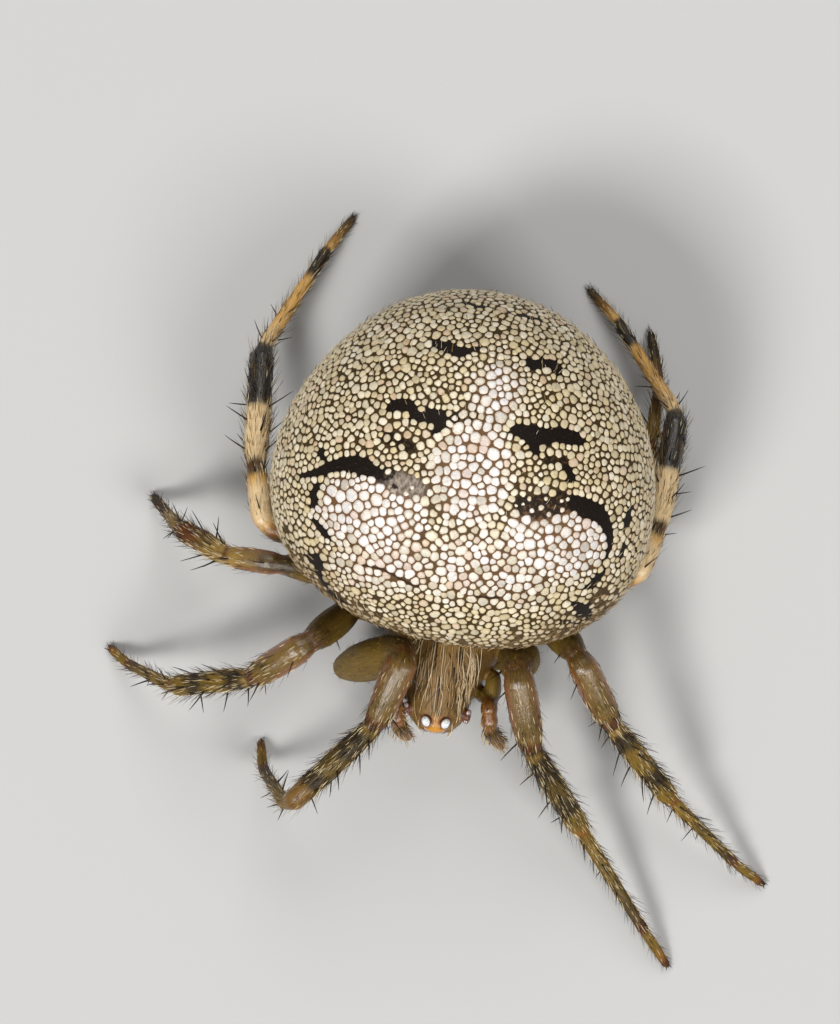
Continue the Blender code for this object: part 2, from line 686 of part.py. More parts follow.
def main():
    for obj in list(bpy.data.objects):
        bpy.data.objects.remove(obj)
    materials = {name: make_material(name) for name in COLOURS}
    add_abdomen(materials["abdomen"])
    add_prosoma(materials["carapace"])
    add_eyes(materials["eye"])
    add_pedicel(materials["mouthparts"])
    for label, side in (("L", 1), ("R", -1)):
        add_chelicera(label, side, materials["mouthparts"])
        add_palp(label, materials["mouthparts"])
    add_spinnerets(materials["mouthparts"])
    for name in LEG_JOINTS:
        add_leg(name, materials)
    centre_on_floor()


main()
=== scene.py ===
"""Looks of the life-size butterfly orb weaver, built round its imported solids.

Shapes are worked out in millimetres in the design frame, with the head towards -Y, the left side
at +X and the floor at z = 0. They are moved and scaled into the row frame when a piece is made.
"""

import math

import bpy
import numpy as np
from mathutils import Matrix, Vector
from mathutils.kdtree import KDTree


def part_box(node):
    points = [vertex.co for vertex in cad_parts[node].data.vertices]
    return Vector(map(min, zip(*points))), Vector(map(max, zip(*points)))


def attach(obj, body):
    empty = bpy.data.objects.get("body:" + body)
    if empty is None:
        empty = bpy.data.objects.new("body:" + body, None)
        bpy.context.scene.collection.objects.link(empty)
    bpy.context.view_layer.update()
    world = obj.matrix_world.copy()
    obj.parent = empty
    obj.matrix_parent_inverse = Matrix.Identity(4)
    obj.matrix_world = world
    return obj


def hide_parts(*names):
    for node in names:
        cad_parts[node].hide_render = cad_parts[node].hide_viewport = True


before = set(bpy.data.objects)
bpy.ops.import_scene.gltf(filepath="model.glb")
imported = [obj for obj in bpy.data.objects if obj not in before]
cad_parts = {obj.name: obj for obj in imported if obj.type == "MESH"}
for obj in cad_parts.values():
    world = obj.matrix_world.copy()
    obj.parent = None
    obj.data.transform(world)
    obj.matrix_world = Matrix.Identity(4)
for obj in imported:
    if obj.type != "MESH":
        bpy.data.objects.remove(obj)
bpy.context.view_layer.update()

MM = 0.001
PROSOMA_X = 0.08

# Sizes shared with the solids
ABDOMEN_CENTRE = np.array([0.04, 0.0, 3.35])
ABDOMEN_HALF_WIDTH, ABDOMEN_FRONT, ABDOMEN_REAR = 3.43, 3.42, 3.30
ABDOMEN_TOP, ABDOMEN_BELLY = 2.75, 2.75
FRONT_SLANT_DEPTH = 2.0
FRONT_SLANT = np.array([0.0, -0.6, -0.8])
FLATTENING = 7
BULGES = (
    ((-0.55, -0.36, 0.75), 0.10),
    ((0.58, -0.35, 0.74), 0.10),
    ((-0.93, -0.38, 0.00), 0.17),
    ((0.88, -0.47, 0.00), 0.19),
    ((0.60, -0.80, 0.00), 0.10),
    ((-0.10, -0.99, 0.00), -0.15),
    ((-0.82, 0.57, 0.00), -0.11),
    ((0.80, 0.60, 0.00), -0.07),
)
BULGE_WIDTH_DEG = 26

PROSOMA_SECTIONS = np.array((
    (-4.82, 0.18, 1.80, 1.66, 0.15, 1.50),
    (-4.77, 0.34, 1.94, 1.62, 0.30, 1.40),
    (-4.64, 0.47, 2.06, 1.59, 0.43, 1.34),
    (-4.45, 0.55, 2.14, 1.56, 0.51, 1.30),
    (-4.10, 0.62, 2.23, 1.52, 0.54, 1.28),
    (-3.86, 0.73, 2.27, 1.47, 0.50, 0.88),
    (-3.50, 0.94, 2.29, 1.44, 0.66, 0.78),
    (-3.00, 1.20, 2.26, 1.43, 0.76, 0.74),
    (-2.50, 1.33, 2.19, 1.42, 0.76, 0.74),
    (-2.10, 1.29, 2.08, 1.42, 0.66, 0.76),
    (-1.75, 1.03, 1.88, 1.41, 0.46, 0.82),
    (-1.55, 0.68, 1.66, 1.38, 0.32, 0.94),
    (-1.44, 0.34, 1.48, 1.34, 0.22, 1.12),
))

LEG_JOINTS = {
    "L1": ((0.88, -3.40, 0.98), (1.50, -3.20, 1.02), (1.41, -3.42, 2.95), (1.87, -4.90, 2.35),
           (2.99, -6.30, 1.15), (4.42, -8.05, 0.42), (4.93, -8.65, 0.065)),
    "L2": ((0.97, -2.84, 0.98), (1.85, -2.52, 1.00), (2.48, -3.07, 2.80), (3.28, -4.27, 2.15),
           (4.57, -5.54, 1.15), (5.93, -6.59, 0.40), (6.50, -6.92, 0.065)),
    "L3": ((0.95, -2.28, 0.98), (1.55, -2.02, 0.95), (2.78, -1.15, 1.00), (3.14, -0.12, 1.08),
           (3.38, 0.95, 0.80), (3.41, 2.03, 0.40), (3.13, 3.00, 0.065)),
    "L4": ((0.62, -1.76, 1.00), (1.26, -1.30, 1.08), (3.37, -1.67, 2.00), (3.68, -0.56, 1.75),
           (3.80, 1.51, 1.22), (2.50, 3.09, 0.42), (1.89, 3.64, 0.065)),
    "R1": ((-0.72, -3.44, 0.98), (-1.78, -3.90, 1.10), (-0.59, -3.38, 3.10), (-1.02, -4.82, 2.70),
           (-2.43, -6.52, 2.40), (-2.98, -5.93, 0.45), (-3.09, -5.42, 0.065)),
    "R2": ((-0.81, -2.87, 0.98), (-1.66, -2.74, 1.05), (-2.38, -3.46, 3.20), (-3.34, -4.24, 2.55),
           (-4.81, -4.61, 1.50), (-5.71, -4.32, 0.40), (-6.10, -4.06, 0.065)),
    "R3": ((-0.79, -2.30, 0.98), (-1.38, -2.20, 1.00), (-3.06, -2.13, 2.50), (-4.13, -2.10, 2.15),
           (-5.03, -1.70, 1.60), (-5.39, -1.41, 0.50), (-5.64, -1.18, 0.065)),
    "R4": ((-0.46, -1.76, 1.00), (-1.12, -1.34, 1.06), (-3.48, -1.56, 1.95), (-3.80, -0.35, 1.75),
           (-3.95, 1.76, 1.15), (-3.00, 3.73, 0.42), (-2.58, 4.43, 0.065)),
}
FEMUR_BOW = {
    "L1": 0.10, "L2": 0.10, "L3": -0.08, "L4": 0.14,
    "R1": 0.10, "R2": 0.10, "R3": 0.10, "R4": 0.10,
}
LEG_BENDS = (0.22, 0.36, 0.22, 0.28, 0.16)
PALP_CORNERS = {
    "L": (
        (0.44, -3.98, 1.02), (0.80, -4.00, 1.12), (1.00, -4.10, 1.98),
        (1.08, -4.66, 1.84), (1.37, -4.98, 1.20),
    ),
    "R": (
        (-0.28, -3.98, 1.02), (-0.62, -4.06, 1.12), (-0.76, -4.30, 1.92),
        (-0.60, -4.79, 1.74), (-0.36, -5.03, 1.16),
    ),
}
CHELICERA_CORNERS = ((0.26, -4.38, 1.24), (0.26, -4.50, 0.92), (0.21, -4.46, 0.52))
EYES = {
    "front_median": (0.15, -4.775, 1.90, 0.070),
    "rear_median": (0.18, -4.650, 2.060, 0.092),
    "front_lateral": (0.545, -4.560, 1.84, 0.055),
    "rear_lateral": (0.575, -4.400, 1.90, 0.055),
}
FOOT_BLEND = 0.40
FLOOR_CLEARANCE = 0.001
# How far the skin lies inside the solid abdomen, which leaves room for the mosaic and the coat
COAT_DEPTH = 0.012

# Sizes of the skin
VOXEL = 0.040
TUBE_SIDES = 28
# Radius of coxa, femur, patella, tibia, metatarsus and tarsus without their hair
SKIN_RADII = {
    "1": (0.235, 0.390, 0.300, 0.215, 0.122, 0.094),
    "2": (0.235, 0.300, 0.285, 0.203, 0.114, 0.090),
    "3": (0.225, 0.270, 0.225, 0.205, 0.122, 0.100),
    "4": (0.225, 0.270, 0.225, 0.232, 0.130, 0.092),
}
# Along each segment: fraction of its length, and share of its radius
SKIN_PROFILES = (
    ((0.00, 0.95), (0.45, 1.00), (0.85, 0.86)),
    ((0.06, 0.62), (0.13, 0.72), (0.28, 0.92), (0.50, 1.00), (0.72, 0.96), (0.90, 0.80), (0.97, 0.68)),
    ((0.04, 0.80), (0.16, 0.97), (0.35, 1.00), (0.62, 0.98), (0.84, 0.86), (0.96, 0.76)),
    ((0.02, 0.80), (0.10, 0.92), (0.30, 1.00), (0.60, 0.99), (0.82, 0.97), (0.93, 0.96), (0.985, 0.80)),
    ((0.02, 0.96), (0.07, 1.10), (0.14, 1.04), (0.40, 0.98), (0.65, 0.88), (0.86, 0.84), (0.95, 0.88), (0.99, 0.80)),
    ((0.03, 0.90), (0.15, 1.04), (0.45, 1.00), (0.72, 0.92), (0.90, 0.80), (0.97, 0.62), (1.00, 0.40)),
)

# Marks on the abdomen: chains of x and y from above, and radius
BLACK_MARKS = (
    ((-0.49, 2.99, 0.029), (-0.37, 3.02, 0.033), (-0.24, 3.00, 0.044), (-0.11, 2.97, 0.051), (0.02, 2.98, 0.033)),
    ((0.65, 2.92, 0.043), (0.85, 2.90, 0.051), (1.03, 2.88, 0.047)),
    ((-0.79, 2.21, 0.076), (-0.60, 2.17, 0.108), (-0.35, 2.10, 0.112), (-0.19, 2.13, 0.065)),
    ((0.94, 2.05, 0.069), (1.12, 2.08, 0.087), (1.34, 2.11, 0.094), (1.44, 2.07, 0.087), (1.46, 1.95, 0.061)),
    ((-1.45, 0.95, 0.083), (-1.34, 1.02, 0.104), (-1.15, 1.05, 0.094), (-1.04, 0.95, 0.081)),
    ((-1.04, 0.90, 0.076), (-0.90, 0.83, 0.086), (-0.73, 0.91, 0.108), (-0.58, 0.88, 0.140),
     (-0.53, 0.76, 0.108), (-0.58, 0.64, 0.061)),
    ((0.82, 0.82, 0.081), (0.99, 0.81, 0.135), (1.21, 0.76, 0.166), (1.39, 0.78, 0.137), (1.57, 0.84, 0.130),
     (1.77, 0.83, 0.137), (1.93, 0.82, 0.123), (2.03, 0.78, 0.072)),
    ((1.20, 0.58, 0.086), (1.24, 0.49, 0.058)),
    ((-2.89, -0.47, 0.036), (-2.63, -0.38, 0.072), (-2.40, -0.25, 0.101), (-2.17, -0.17, 0.117),
     (-1.94, -0.14, 0.155), (-1.72, -0.20, 0.133), (-1.55, -0.25, 0.083)),
    ((-2.60, -0.01, 0.083), (-2.56, -0.11, 0.047)),
    ((-2.58, -0.61, 0.058), (-2.64, -0.74, 0.076), (-2.63, -0.88, 0.083), (-2.64, -0.98, 0.054)),
    ((-2.58, -1.24, 0.047), (-2.49, -1.34, 0.076), (-2.36, -1.45, 0.087), (-2.28, -1.51, 0.047)),
    ((-2.56, -1.96, 0.105), (-2.45, -1.96, 0.127), (-2.41, -2.10, 0.098), (-2.34, -2.25, 0.062),
     (-2.21, -2.42, 0.036)),
    ((-2.15, -2.51, 0.033), (-2.01, -2.60, 0.040), (-1.87, -2.66, 0.033)),
    ((2.08, -0.33, 0.126), (2.25, -0.39, 0.155), (2.48, -0.46, 0.152), (2.63, -0.57, 0.134),
     (2.77, -0.82, 0.090), (2.81, -1.07, 0.062), (2.75, -1.27, 0.043)),
    ((3.08, -0.36, 0.069), (3.05, -0.57, 0.080)),
    ((3.05, -1.00, 0.062), (3.04, -1.19, 0.062)),
    ((2.75, -1.53, 0.054), (2.64, -1.68, 0.101), (2.53, -1.80, 0.083)),
    ((2.28, -2.14, 0.054), (2.47, -2.25, 0.116), (2.61, -2.33, 0.054)),
    ((1.88, 0.21, 0.072), (1.95, 0.09, 0.065)),
    ((-2.92, -0.50, 0.036), (-2.88, -0.44, 0.040)),
)
MOTTLED_MARKS = (
    ((1.10, -0.50, 0.135), (1.32, -0.53, 0.180), (1.55, -0.47, 0.207), (1.79, -0.38, 0.189), (1.99, -0.32, 0.144)),
    ((-0.20, 2.14, 0.054), (-0.06, 2.19, 0.054), (0.12, 2.24, 0.047)),
    ((0.72, 2.23, 0.047), (0.77, 2.13, 0.040)),
    ((-0.37, 0.89, 0.099), (-0.15, 0.94, 0.099), (0.03, 1.02, 0.072)),
    ((1.37, 0.49, 0.081), (1.51, 0.38, 0.090), (1.58, 0.32, 0.072)),
    ((1.75, 0.36, 0.090), (1.86, 0.23, 0.108)),
    ((-1.43, 0.43, 0.117), (-1.24, 0.33, 0.117), (-1.01, 0.26, 0.081)),
    ((-0.04, -0.09, 0.020), (0.12, -0.10, 0.020)),
    ((-1.55, -0.25, 0.135), (-1.35, -0.23, 0.108)),
    ((2.08, -2.52, 0.054), (2.36, -2.52, 0.073), (2.58, -2.40, 0.054)),
)
FAINT_MARKS = (
    ((-1.78, -1.99, 0.027), (-1.50, -1.94, 0.032), (-1.20, -1.98, 0.032), (-0.97, -2.07, 0.036),
     (-0.74, -2.16, 0.040), (-0.56, -2.20, 0.032)),
    ((0.52, -2.25, 0.036), (0.72, -2.25, 0.040), (0.94, -2.20, 0.029)),
)
GREY_MARKS = (
    ((-1.44, -0.37, 0.144), (-1.18, -0.38, 0.216), (-0.96, -0.40, 0.216), (-0.79, -0.45, 0.144)),
)
# The small pit in the grey field
PIT_MARKS = (
    ((-1.23, -0.46, 0.058), (-1.17, -0.49, 0.047)),
)
# Pale fields of the abdomen, white cells with a painted highlight of the lamp over them: x, y, half-width, half-length
# and strength
PALE_AND_HIGHLIGHT_FIELDS = (
    (-1.55, -0.97, 0.98, 0.66, 1.00), (1.81, -1.05, 0.92, 0.66, 1.00), (0.11, 0.00, 0.70, 1.00, 0.92),
    (0.42, 1.41, 0.50, 0.70, 0.70), (-1.10, -1.81, 1.15, 0.60, 0.62), (0.60, -1.70, 1.60, 0.75, 0.60),
)
# The mosaic: distance between cells in pale and in other places, and the dark gap beside a cell
CELL_PITCH_PALE, CELL_PITCH = 0.172, 0.142
CELL_GAP_PALE, CELL_GAP = 0.0058, 0.0110
CELL_SIDES = 14
CELL_DOME = 0.015
# How far a cell's middle stays from the edge of a mark
CELL_MARGIN = 0.062
# How deep a cell's edge is rooted in the skin
CELL_ROOT = 0.006
# Heights where the mosaic ends and where it begins to thin out
MOSAIC_LOW, MOSAIC_FADE = 1.35, 2.60


def unit(vectors):
    return vectors / np.maximum(np.linalg.norm(vectors, axis=-1, keepdims=True), 1e-12)


def smoothstep(low, high, value):
    share = np.clip((value - low) / (high - low), 0, 1)
    return share * share * (3 - 2 * share)


# The abdomen's shape
def abdomen_reach(directions):
    """Distance from the abdomen's centre to its surface, for unit directions."""
    x, y, z = directions.T
    length = np.where(y < 0, ABDOMEN_FRONT, ABDOMEN_REAR)
    limits = ((x / ABDOMEN_HALF_WIDTH) ** 2 + (y / length) ** 2 + (z / ABDOMEN_TOP) ** 2) ** (FLATTENING / 2)
    slant = np.maximum(directions @ FRONT_SLANT, 0) / FRONT_SLANT_DEPTH
    belly = np.maximum(-z, 0) / ABDOMEN_BELLY
    reach = (limits + slant ** FLATTENING + belly ** FLATTENING) ** (-1 / FLATTENING)
    for middle, height in BULGES:
        offset = np.degrees(np.arccos(np.clip(directions @ unit(np.array(middle)), -1, 1))) / BULGE_WIDTH_DEG
        reach = reach + height * np.exp(-offset * offset)
    return reach


def globe_points(directions):
    """Points of the abdomen's skin in these unit directions from its centre."""
    return ABDOMEN_CENTRE + directions * (abdomen_reach(directions) - COAT_DEPTH)[:, None]


def lift_to_abdomen(x, y):
    """The point of the abdomen's upper surface above each x, y."""
    x, y = np.broadcast_arrays(np.asarray(x, float), np.asarray(y, float))
    low, high = np.full(x.shape, ABDOMEN_CENTRE[2]), np.full(x.shape, ABDOMEN_CENTRE[2] + 4)
    for _ in range(40):
        middle = (low + high) / 2
        arm = np.stack((x, y, middle), -1) - ABDOMEN_CENTRE
        inside = np.linalg.norm(arm, axis=-1) < abdomen_reach(unit(arm).reshape(-1, 3)).reshape(x.shape)
        low, high = np.where(inside, middle, low), np.where(inside, high, middle)
    return np.stack((x, y, low), -1)


# Tubes
class Tube:
    """A round tube along corners joined by arcs: its stations, their frames and their radii."""

    def __init__(self, name, corners, bends, controls, bow=None, smooth=0.035, steps=60):
        self.name = name
        corners = [Vector(corner) for corner in corners]
        runs = [after - before for before, after in zip(corners, corners[1:])]
        bends = [0.0, *bends, 0.0]
        points, directions, where = [], [], []
        for segment, run in enumerate(runs):
            for step in range(steps + (segment == len(runs) - 1)):
                fraction = step / steps
                point, direction = self.at(corners, runs, bends, segment, fraction)
                if bow and segment == bow[0]:
                    point = point + Vector((0, 0, 4 * bow[1] * fraction * (1 - fraction)))
                points.append(point)
                directions.append(direction)
                where.append(segment + fraction)
        self.points = np.array([tuple(point) for point in points])
        self.where = np.array(where)
        steps_along = np.linalg.norm(np.diff(self.points, axis=0), axis=1)
        self.along = np.concatenate([[0], np.cumsum(steps_along)])
        self.directions = unit(np.gradient(self.points, axis=0))
        places = np.interp([segment + fraction for segment, fraction, _ in controls], self.where, self.along)
        radii = np.interp(self.along, places, [radius for *_, radius in controls])
        weights = np.exp(-((self.along[:, None] - self.along[None, :]) / smooth) ** 2)
        spacing = np.gradient(self.along)
        self.radii = (weights * spacing) @ radii / (weights @ spacing)
        self.set_frames()

    @staticmethod
    def at(corners, runs, bends, segment, fraction):
        run = runs[segment]
        before, after = bends[segment], bends[segment + 1]
        if fraction * run.length < before:
            corner, share = segment, 0.5 + 0.5 * fraction * run.length / before
        elif (1 - fraction) * run.length < after:
            corner, share = segment + 1, 0.5 - 0.5 * (1 - fraction) * run.length / after
        else:
            return corners[segment] + run * fraction, run.normalized()
        inward, outward = runs[corner - 1].normalized(), runs[corner].normalized()
        turn = inward.angle(outward)
        if turn < 0.01:
            return corners[corner] + inward * bends[corner] * (2 * share - 1), inward
        sideways = (outward - inward * inward.dot(outward)).normalized()
        radius = bends[corner] / math.tan(turn / 2)
        centre = corners[corner] - inward * bends[corner] + sideways * radius
        angle = turn * share
        point = centre + radius * (inward * math.sin(angle) - sideways * math.cos(angle))
        return point, inward * math.cos(angle) + sideways * math.sin(angle)

    def set_frames(self):
        """An upper side for each station: the direction nearest to straight up that is square to the tube."""
        previous = None
        ups = []
        for direction in self.directions:
            up = np.array([0, 0, 1.0]) if previous is None else previous
            up = up - direction * (up @ direction)
            if previous is None and np.linalg.norm(up) < 0.2:
                up = np.array([0, 1.0, 0]) - direction * direction[1]
            previous = up / np.linalg.norm(up)
            ups.append(previous)
        self.ups = np.array(ups)
        self.sides = np.cross(self.directions, self.ups)

    def rings(self, chosen=None, grow=0.0):
        turns = np.linspace(0, 2 * math.pi, TUBE_SIDES, endpoint=False)
        chosen = np.arange(len(self.points)) if chosen is None else chosen
        radii = (self.radii[chosen] + grow)[:, None, None]
        across = np.cos(turns)[None, :, None] * self.ups[chosen][:, None]
        across = across + np.sin(turns)[None, :, None] * self.sides[chosen][:, None]
        return self.points[chosen][:, None] + radii * across


def skin_of_rings(rings):
    """Points and faces of a closed skin over rings, each end closed by a point at its middle."""
    count, sides, _ = rings.shape
    points = np.concatenate([rings.reshape(-1, 3), rings[:1].mean(1), rings[-1:].mean(1)])
    low = (np.arange(count - 1)[:, None] * sides + np.arange(sides)).ravel()
    after = (np.arange(count - 1)[:, None] * sides + (np.arange(sides) + 1) % sides).ravel()
    faces = [tuple(face) for face in np.stack((low, after, after + sides, low + sides), 1)]
    for side in range(sides):
        beside = (side + 1) % sides
        faces.append((len(points) - 2, beside, side))
        faces.append((len(points) - 1, len(points) - 2 - sides + side, len(points) - 2 - sides + beside))
    return points, faces


def leg_tube(name):
    radii = SKIN_RADII[name[1]]
    controls = [
        (segment, fraction, radii[segment] * share)
        for segment, profile in enumerate(SKIN_PROFILES)
        for fraction, share in profile
    ]
    corners = [np.array(corner) for corner in LEG_JOINTS[name]]
    corners[0] = corners[0] + unit(corners[0] - corners[1]) * 0.25
    return Tube(name, corners, LEG_BENDS, controls, bow=(1, FEMUR_BOW[name]))


def press_foot(points):
    """Lowers the end of a leg onto the floor and flattens what touches it."""
    low = points[:, 2].min()
    give = np.maximum(0, 1 - (points[:, 2] - low) / FOOT_BLEND)
    pressed = points.copy()
    pressed[:, 2] = np.maximum(points[:, 2] - (low + 0.012) * give, 0)
    return pressed


def unit_sphere(segments, rings):
    """Points and faces of a sphere of radius 1 round the origin."""
    polar = np.linspace(0, math.pi, rings + 1)[1:-1]
    turns = np.linspace(0, 2 * math.pi, segments, endpoint=False)
    ring = np.stack((
        np.sin(polar)[:, None] * np.cos(turns), np.sin(polar)[:, None] * np.sin(turns),
        -np.cos(polar)[:, None] * np.ones(segments),
    ), -1)
    points, faces = skin_of_rings(ring)
    points[-2], points[-1] = (0, 0, -1), (0, 0, 1)
    return points, faces


def ellipsoid(centre, radii):
    points, faces = unit_sphere(24, 16)
    return points * np.array(radii) + np.array(centre), faces


def prosoma_skin(rows=90):
    """The carapace with its head, grooves and margin, over the sternum."""
    ys = np.linspace(PROSOMA_SECTIONS[0, 0], PROSOMA_SECTIONS[-1, 0], rows)
    places = PROSOMA_SECTIONS[:, 0]
    smooth = np.exp(-((ys[:, None] - ys[None, :]) / 0.10) ** 2)
    smooth /= smooth.sum(1, keepdims=True)
    half, top, margin, under, bottom = (
        smooth @ np.interp(ys, places, column) for column in PROSOMA_SECTIONS.T[1:])
    rings = []
    for row, y in enumerate(ys):
        angles = np.linspace(0, math.pi / 2, 15)
        x = half[row] * np.sin(angles)
        z = margin[row] + (top[row] - margin[row]) * np.cos(angles)
        # The groove between head and thorax, the pit in the middle, and the shallow furrows that fan from it
        groove = -0.075 * np.exp(-((y + 3.92 + 0.62 * x / 1.1 - 0.10) / 0.075) ** 2) * smoothstep(0.10, 0.35, x)
        pit = -0.16 * np.exp(-((y + 2.72) / 0.16) ** 2 - (x / 0.10) ** 2)
        bearing = np.arctan2(x, -(y + 2.72))
        furrows = -0.028 * np.maximum(0, np.cos(bearing * 7)) ** 4
        furrows = furrows * smoothstep(0.25, 0.6, x) * smoothstep(-3.9, -3.5, y)
        z = z + (groove + pit + furrows) * np.cos(angles) ** 0.5
        lower = margin[row] - 0.10
        edge = np.array((
            (half[row] * 0.97, lower + 0.035), (half[row] * 0.90, lower + 0.005), (under[row], lower - 0.01),
            (under[row] * 0.98, (lower * 2 + bottom[row]) / 3), (under[row] * 0.92, (lower + 2 * bottom[row]) / 3),
            (under[row] * 0.72, bottom[row] + 0.04), (under[row] * 0.40, bottom[row] + 0.01), (0, bottom[row]),
        ))
        x, z = np.concatenate([x, edge[:, 0]]), np.concatenate([z, edge[:, 1]])
        x, z = np.concatenate([x, -x[-2:0:-1]]), np.concatenate([z, z[-2:0:-1]])
        rings.append(np.stack((PROSOMA_X + x, np.full(len(x), y), z), 1))
    return skin_of_rings(np.array(rings))


def abdomen_skin():
    points, faces = unit_sphere(220, 110)
    return globe_points(unit(points)), faces


# Segment number, fraction of its length, and share of the radius
PALP_PROFILE = (
    (0, 0.0, 0.80), (0, 0.5, 0.90), (0, 0.9, 0.80), (1, 0.10, 0.72), (1, 0.4, 0.96), (1, 0.75, 0.94),
    (1, 0.97, 0.74), (2, 0.04, 0.82), (2, 0.16, 0.98), (2, 0.42, 0.98), (2, 0.50, 0.80), (2, 0.58, 0.92),
    (2, 0.80, 1.0), (2, 0.96, 0.76), (3, 0.10, 0.94), (3, 0.40, 0.92), (3, 0.72, 0.74), (3, 0.92, 0.46),
    (3, 1.0, 0.22),
)
CHELICERA_PROFILE = ((0, 0.0, 0.80), (0, 0.5, 1.0), (1, 0.2, 1.0), (1, 0.6, 0.84), (1, 0.88, 0.56), (1, 1.0, 0.30))
# The knee of the left palp, which looks thicker in the photo: its centre and half sizes
PALP_KNEE = ((1.05, -3.93, 1.74), (0.155, 0.37, 0.24))
PALP_RADIUS, CHELICERA_RADIUS = 0.165, 0.225
PEDICEL_DIRECTION = unit(np.array([0.0, -1.05, -1.60]))
SPINNERET_DIRECTION = unit(np.array([0.0, 1.75, -2.45]))


def abdomen_spot(direction, outside=0.0):
    return ABDOMEN_CENTRE + direction * (abdomen_reach(direction[None])[0] + outside)


def scaled(profile, radius):
    return [(segment, fraction, radius * share) for segment, fraction, share in profile]


def small_tubes():
    """Palps, chelicerae, pedicel and spinnerets."""
    tubes = []
    controls = scaled(PALP_PROFILE, PALP_RADIUS)
    for label, corners in PALP_CORNERS.items():
        tubes.append(Tube("palp_" + label, corners, (0.12, 0.22, 0.16), controls, smooth=0.02, steps=40))
    controls = scaled(CHELICERA_PROFILE, CHELICERA_RADIUS)
    for label, side in (("L", 1), ("R", -1)):
        corners = [(PROSOMA_X + side * x, y, z) for x, y, z in CHELICERA_CORNERS]
        corners[0] = (corners[0][0], corners[0][1] + 0.08, corners[0][2] + 0.22)
        tubes.append(Tube("chelicera_" + label, corners, (0.12,), controls, smooth=0.03, steps=40))
    end = abdomen_spot(PEDICEL_DIRECTION, -0.15)
    start = (PROSOMA_X, PROSOMA_SECTIONS[-1][0] - 0.25, 1.30)
    bend = (PROSOMA_X, (PROSOMA_SECTIONS[-1][0] + end[1]) / 2, 1.38)
    tubes.append(Tube("pedicel", (start, bend, end), (0.06,),
                      ((0, 0, 0.16), (0, 0.6, 0.18), (1, 0.5, 0.18), (1, 1, 0.24))))
    down = SPINNERET_DIRECTION
    root = abdomen_spot(down, -0.10)
    across, behind = np.array([1.0, 0, 0]), np.cross(down, np.array([1.0, 0, 0]))
    tubes.append(Tube("spinnerets_mound", (root, root + down * 0.12, root + down * 0.26), (0.05,),
                      ((0, 0, 0.36), (1, 0.3, 0.33), (1, 1, 0.24))))
    for count in range(6):
        turn = 2 * math.pi * (count + 0.5) / 6
        outward = across * math.cos(turn) + behind * math.sin(turn)
        foot = root + down * 0.15 + outward * 0.18
        tip = root + down * 0.46 + outward * 0.15
        tubes.append(Tube(f"spinneret_{count}", (foot, (foot + tip) / 2, tip), (0.05,),
                          ((0, 0, 0.11), (1, 0, 0.105), (1, 0.6, 0.08), (1, 1, 0.04)), smooth=0.02, steps=12))
    return tubes


def small_lumps():
    """Eye tubercles, maxillae, labium and the plate before the pedicel."""
    x = PROSOMA_X
    lumps = [
        ((x, -4.64, 1.93), (0.30, 0.20, 0.15)), ((x, -4.70, 1.78), (0.26, 0.16, 0.20)),
        ((x, -3.98, 0.98), (0.12, 0.16, 0.14)),
        ((x, -0.95, 1.20), (0.42, 0.34, 0.14)), PALP_KNEE,
    ]
    for side in (1, -1):
        lumps.append(((x + side * 0.55, -4.475, 1.83), (0.085, 0.13, 0.10)))
        lumps.append(((x + side * 0.20, -4.06, 1.00), (0.13, 0.24, 0.20)))
    return lumps


# Making pieces
low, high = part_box("eye_rear_median_L")
eye_x, eye_y, eye_z, _ = EYES["rear_median"]
SHIFT = np.array((low + high) / 2) / MM - np.array((PROSOMA_X + eye_x, eye_y, eye_z))


def show(name, data):
    """Puts a mesh, a lamp or a camera in the scene."""
    obj = bpy.data.objects.new(name, data)
    bpy.context.scene.collection.objects.link(obj)
    return obj


def tree_of(points):
    tree = KDTree(len(points))
    for number, point in enumerate(points):
        tree.insert(point, number)
    tree.balance()
    return tree


def eye_places():
    """Name, side, centre and radius of each eye."""
    for name, (x, y, z, radius) in EYES.items():
        for side in (1, -1):
            yield name, side, np.array((PROSOMA_X + side * x, y, z)), radius


def repeated(faces, size, count):
    """The faces of many copies of a small mesh that has this number of points."""
    return (np.array(faces)[None] + size * np.arange(count)[:, None, None]).reshape(-1, 3)


def add_bake_map(mesh, places, faces):
    layer = mesh.uv_layers.new(name="OFBake")
    layer.data.foreach_set("uv", places[faces.ravel()].astype(np.float32).ravel())


def toward(colours, target, share):
    """Each colour moved to the target by its own share."""
    return colours + (np.array(target) - colours) * np.reshape(share, (-1, 1))


def plain_mesh(name, points, faces):
    mesh = bpy.data.meshes.new(name)
    mesh.from_pydata(np.asarray(points, float).tolist(), [], faces)
    return mesh


def triangle_mesh(name, points, triangles):
    """A mesh of triangles straight from arrays."""
    mesh = bpy.data.meshes.new(name)
    mesh.vertices.add(len(points))
    mesh.vertices.foreach_set("co", np.ascontiguousarray(points, np.float32).ravel())
    mesh.loops.add(3 * len(triangles))
    mesh.loops.foreach_set("vertex_index", np.ascontiguousarray(triangles, np.int32).ravel())
    mesh.polygons.add(len(triangles))
    mesh.polygons.foreach_set("loop_start", np.arange(0, 3 * len(triangles), 3, dtype=np.int32))
    mesh.update(calc_edges=True)
    mesh.validate()
    return mesh


def set_attribute(mesh, name, values):
    """Stores one number, three numbers or a colour for each vertex."""
    values = np.asarray(values, np.float32)
    kind, field = {1: ("FLOAT", "value"), 3: ("FLOAT_VECTOR", "vector"), 4: ("FLOAT_COLOR", "color")}[
        1 if values.ndim == 1 else values.shape[1]]
    attribute = mesh.attributes.new(name, kind, "POINT")
    attribute.data.foreach_set(field, np.ascontiguousarray(values).ravel())


def coordinates(mesh):
    points = np.empty(3 * len(mesh.vertices), np.float32)
    mesh.vertices.foreach_get("co", points)
    return points.reshape(-1, 3).astype(float)


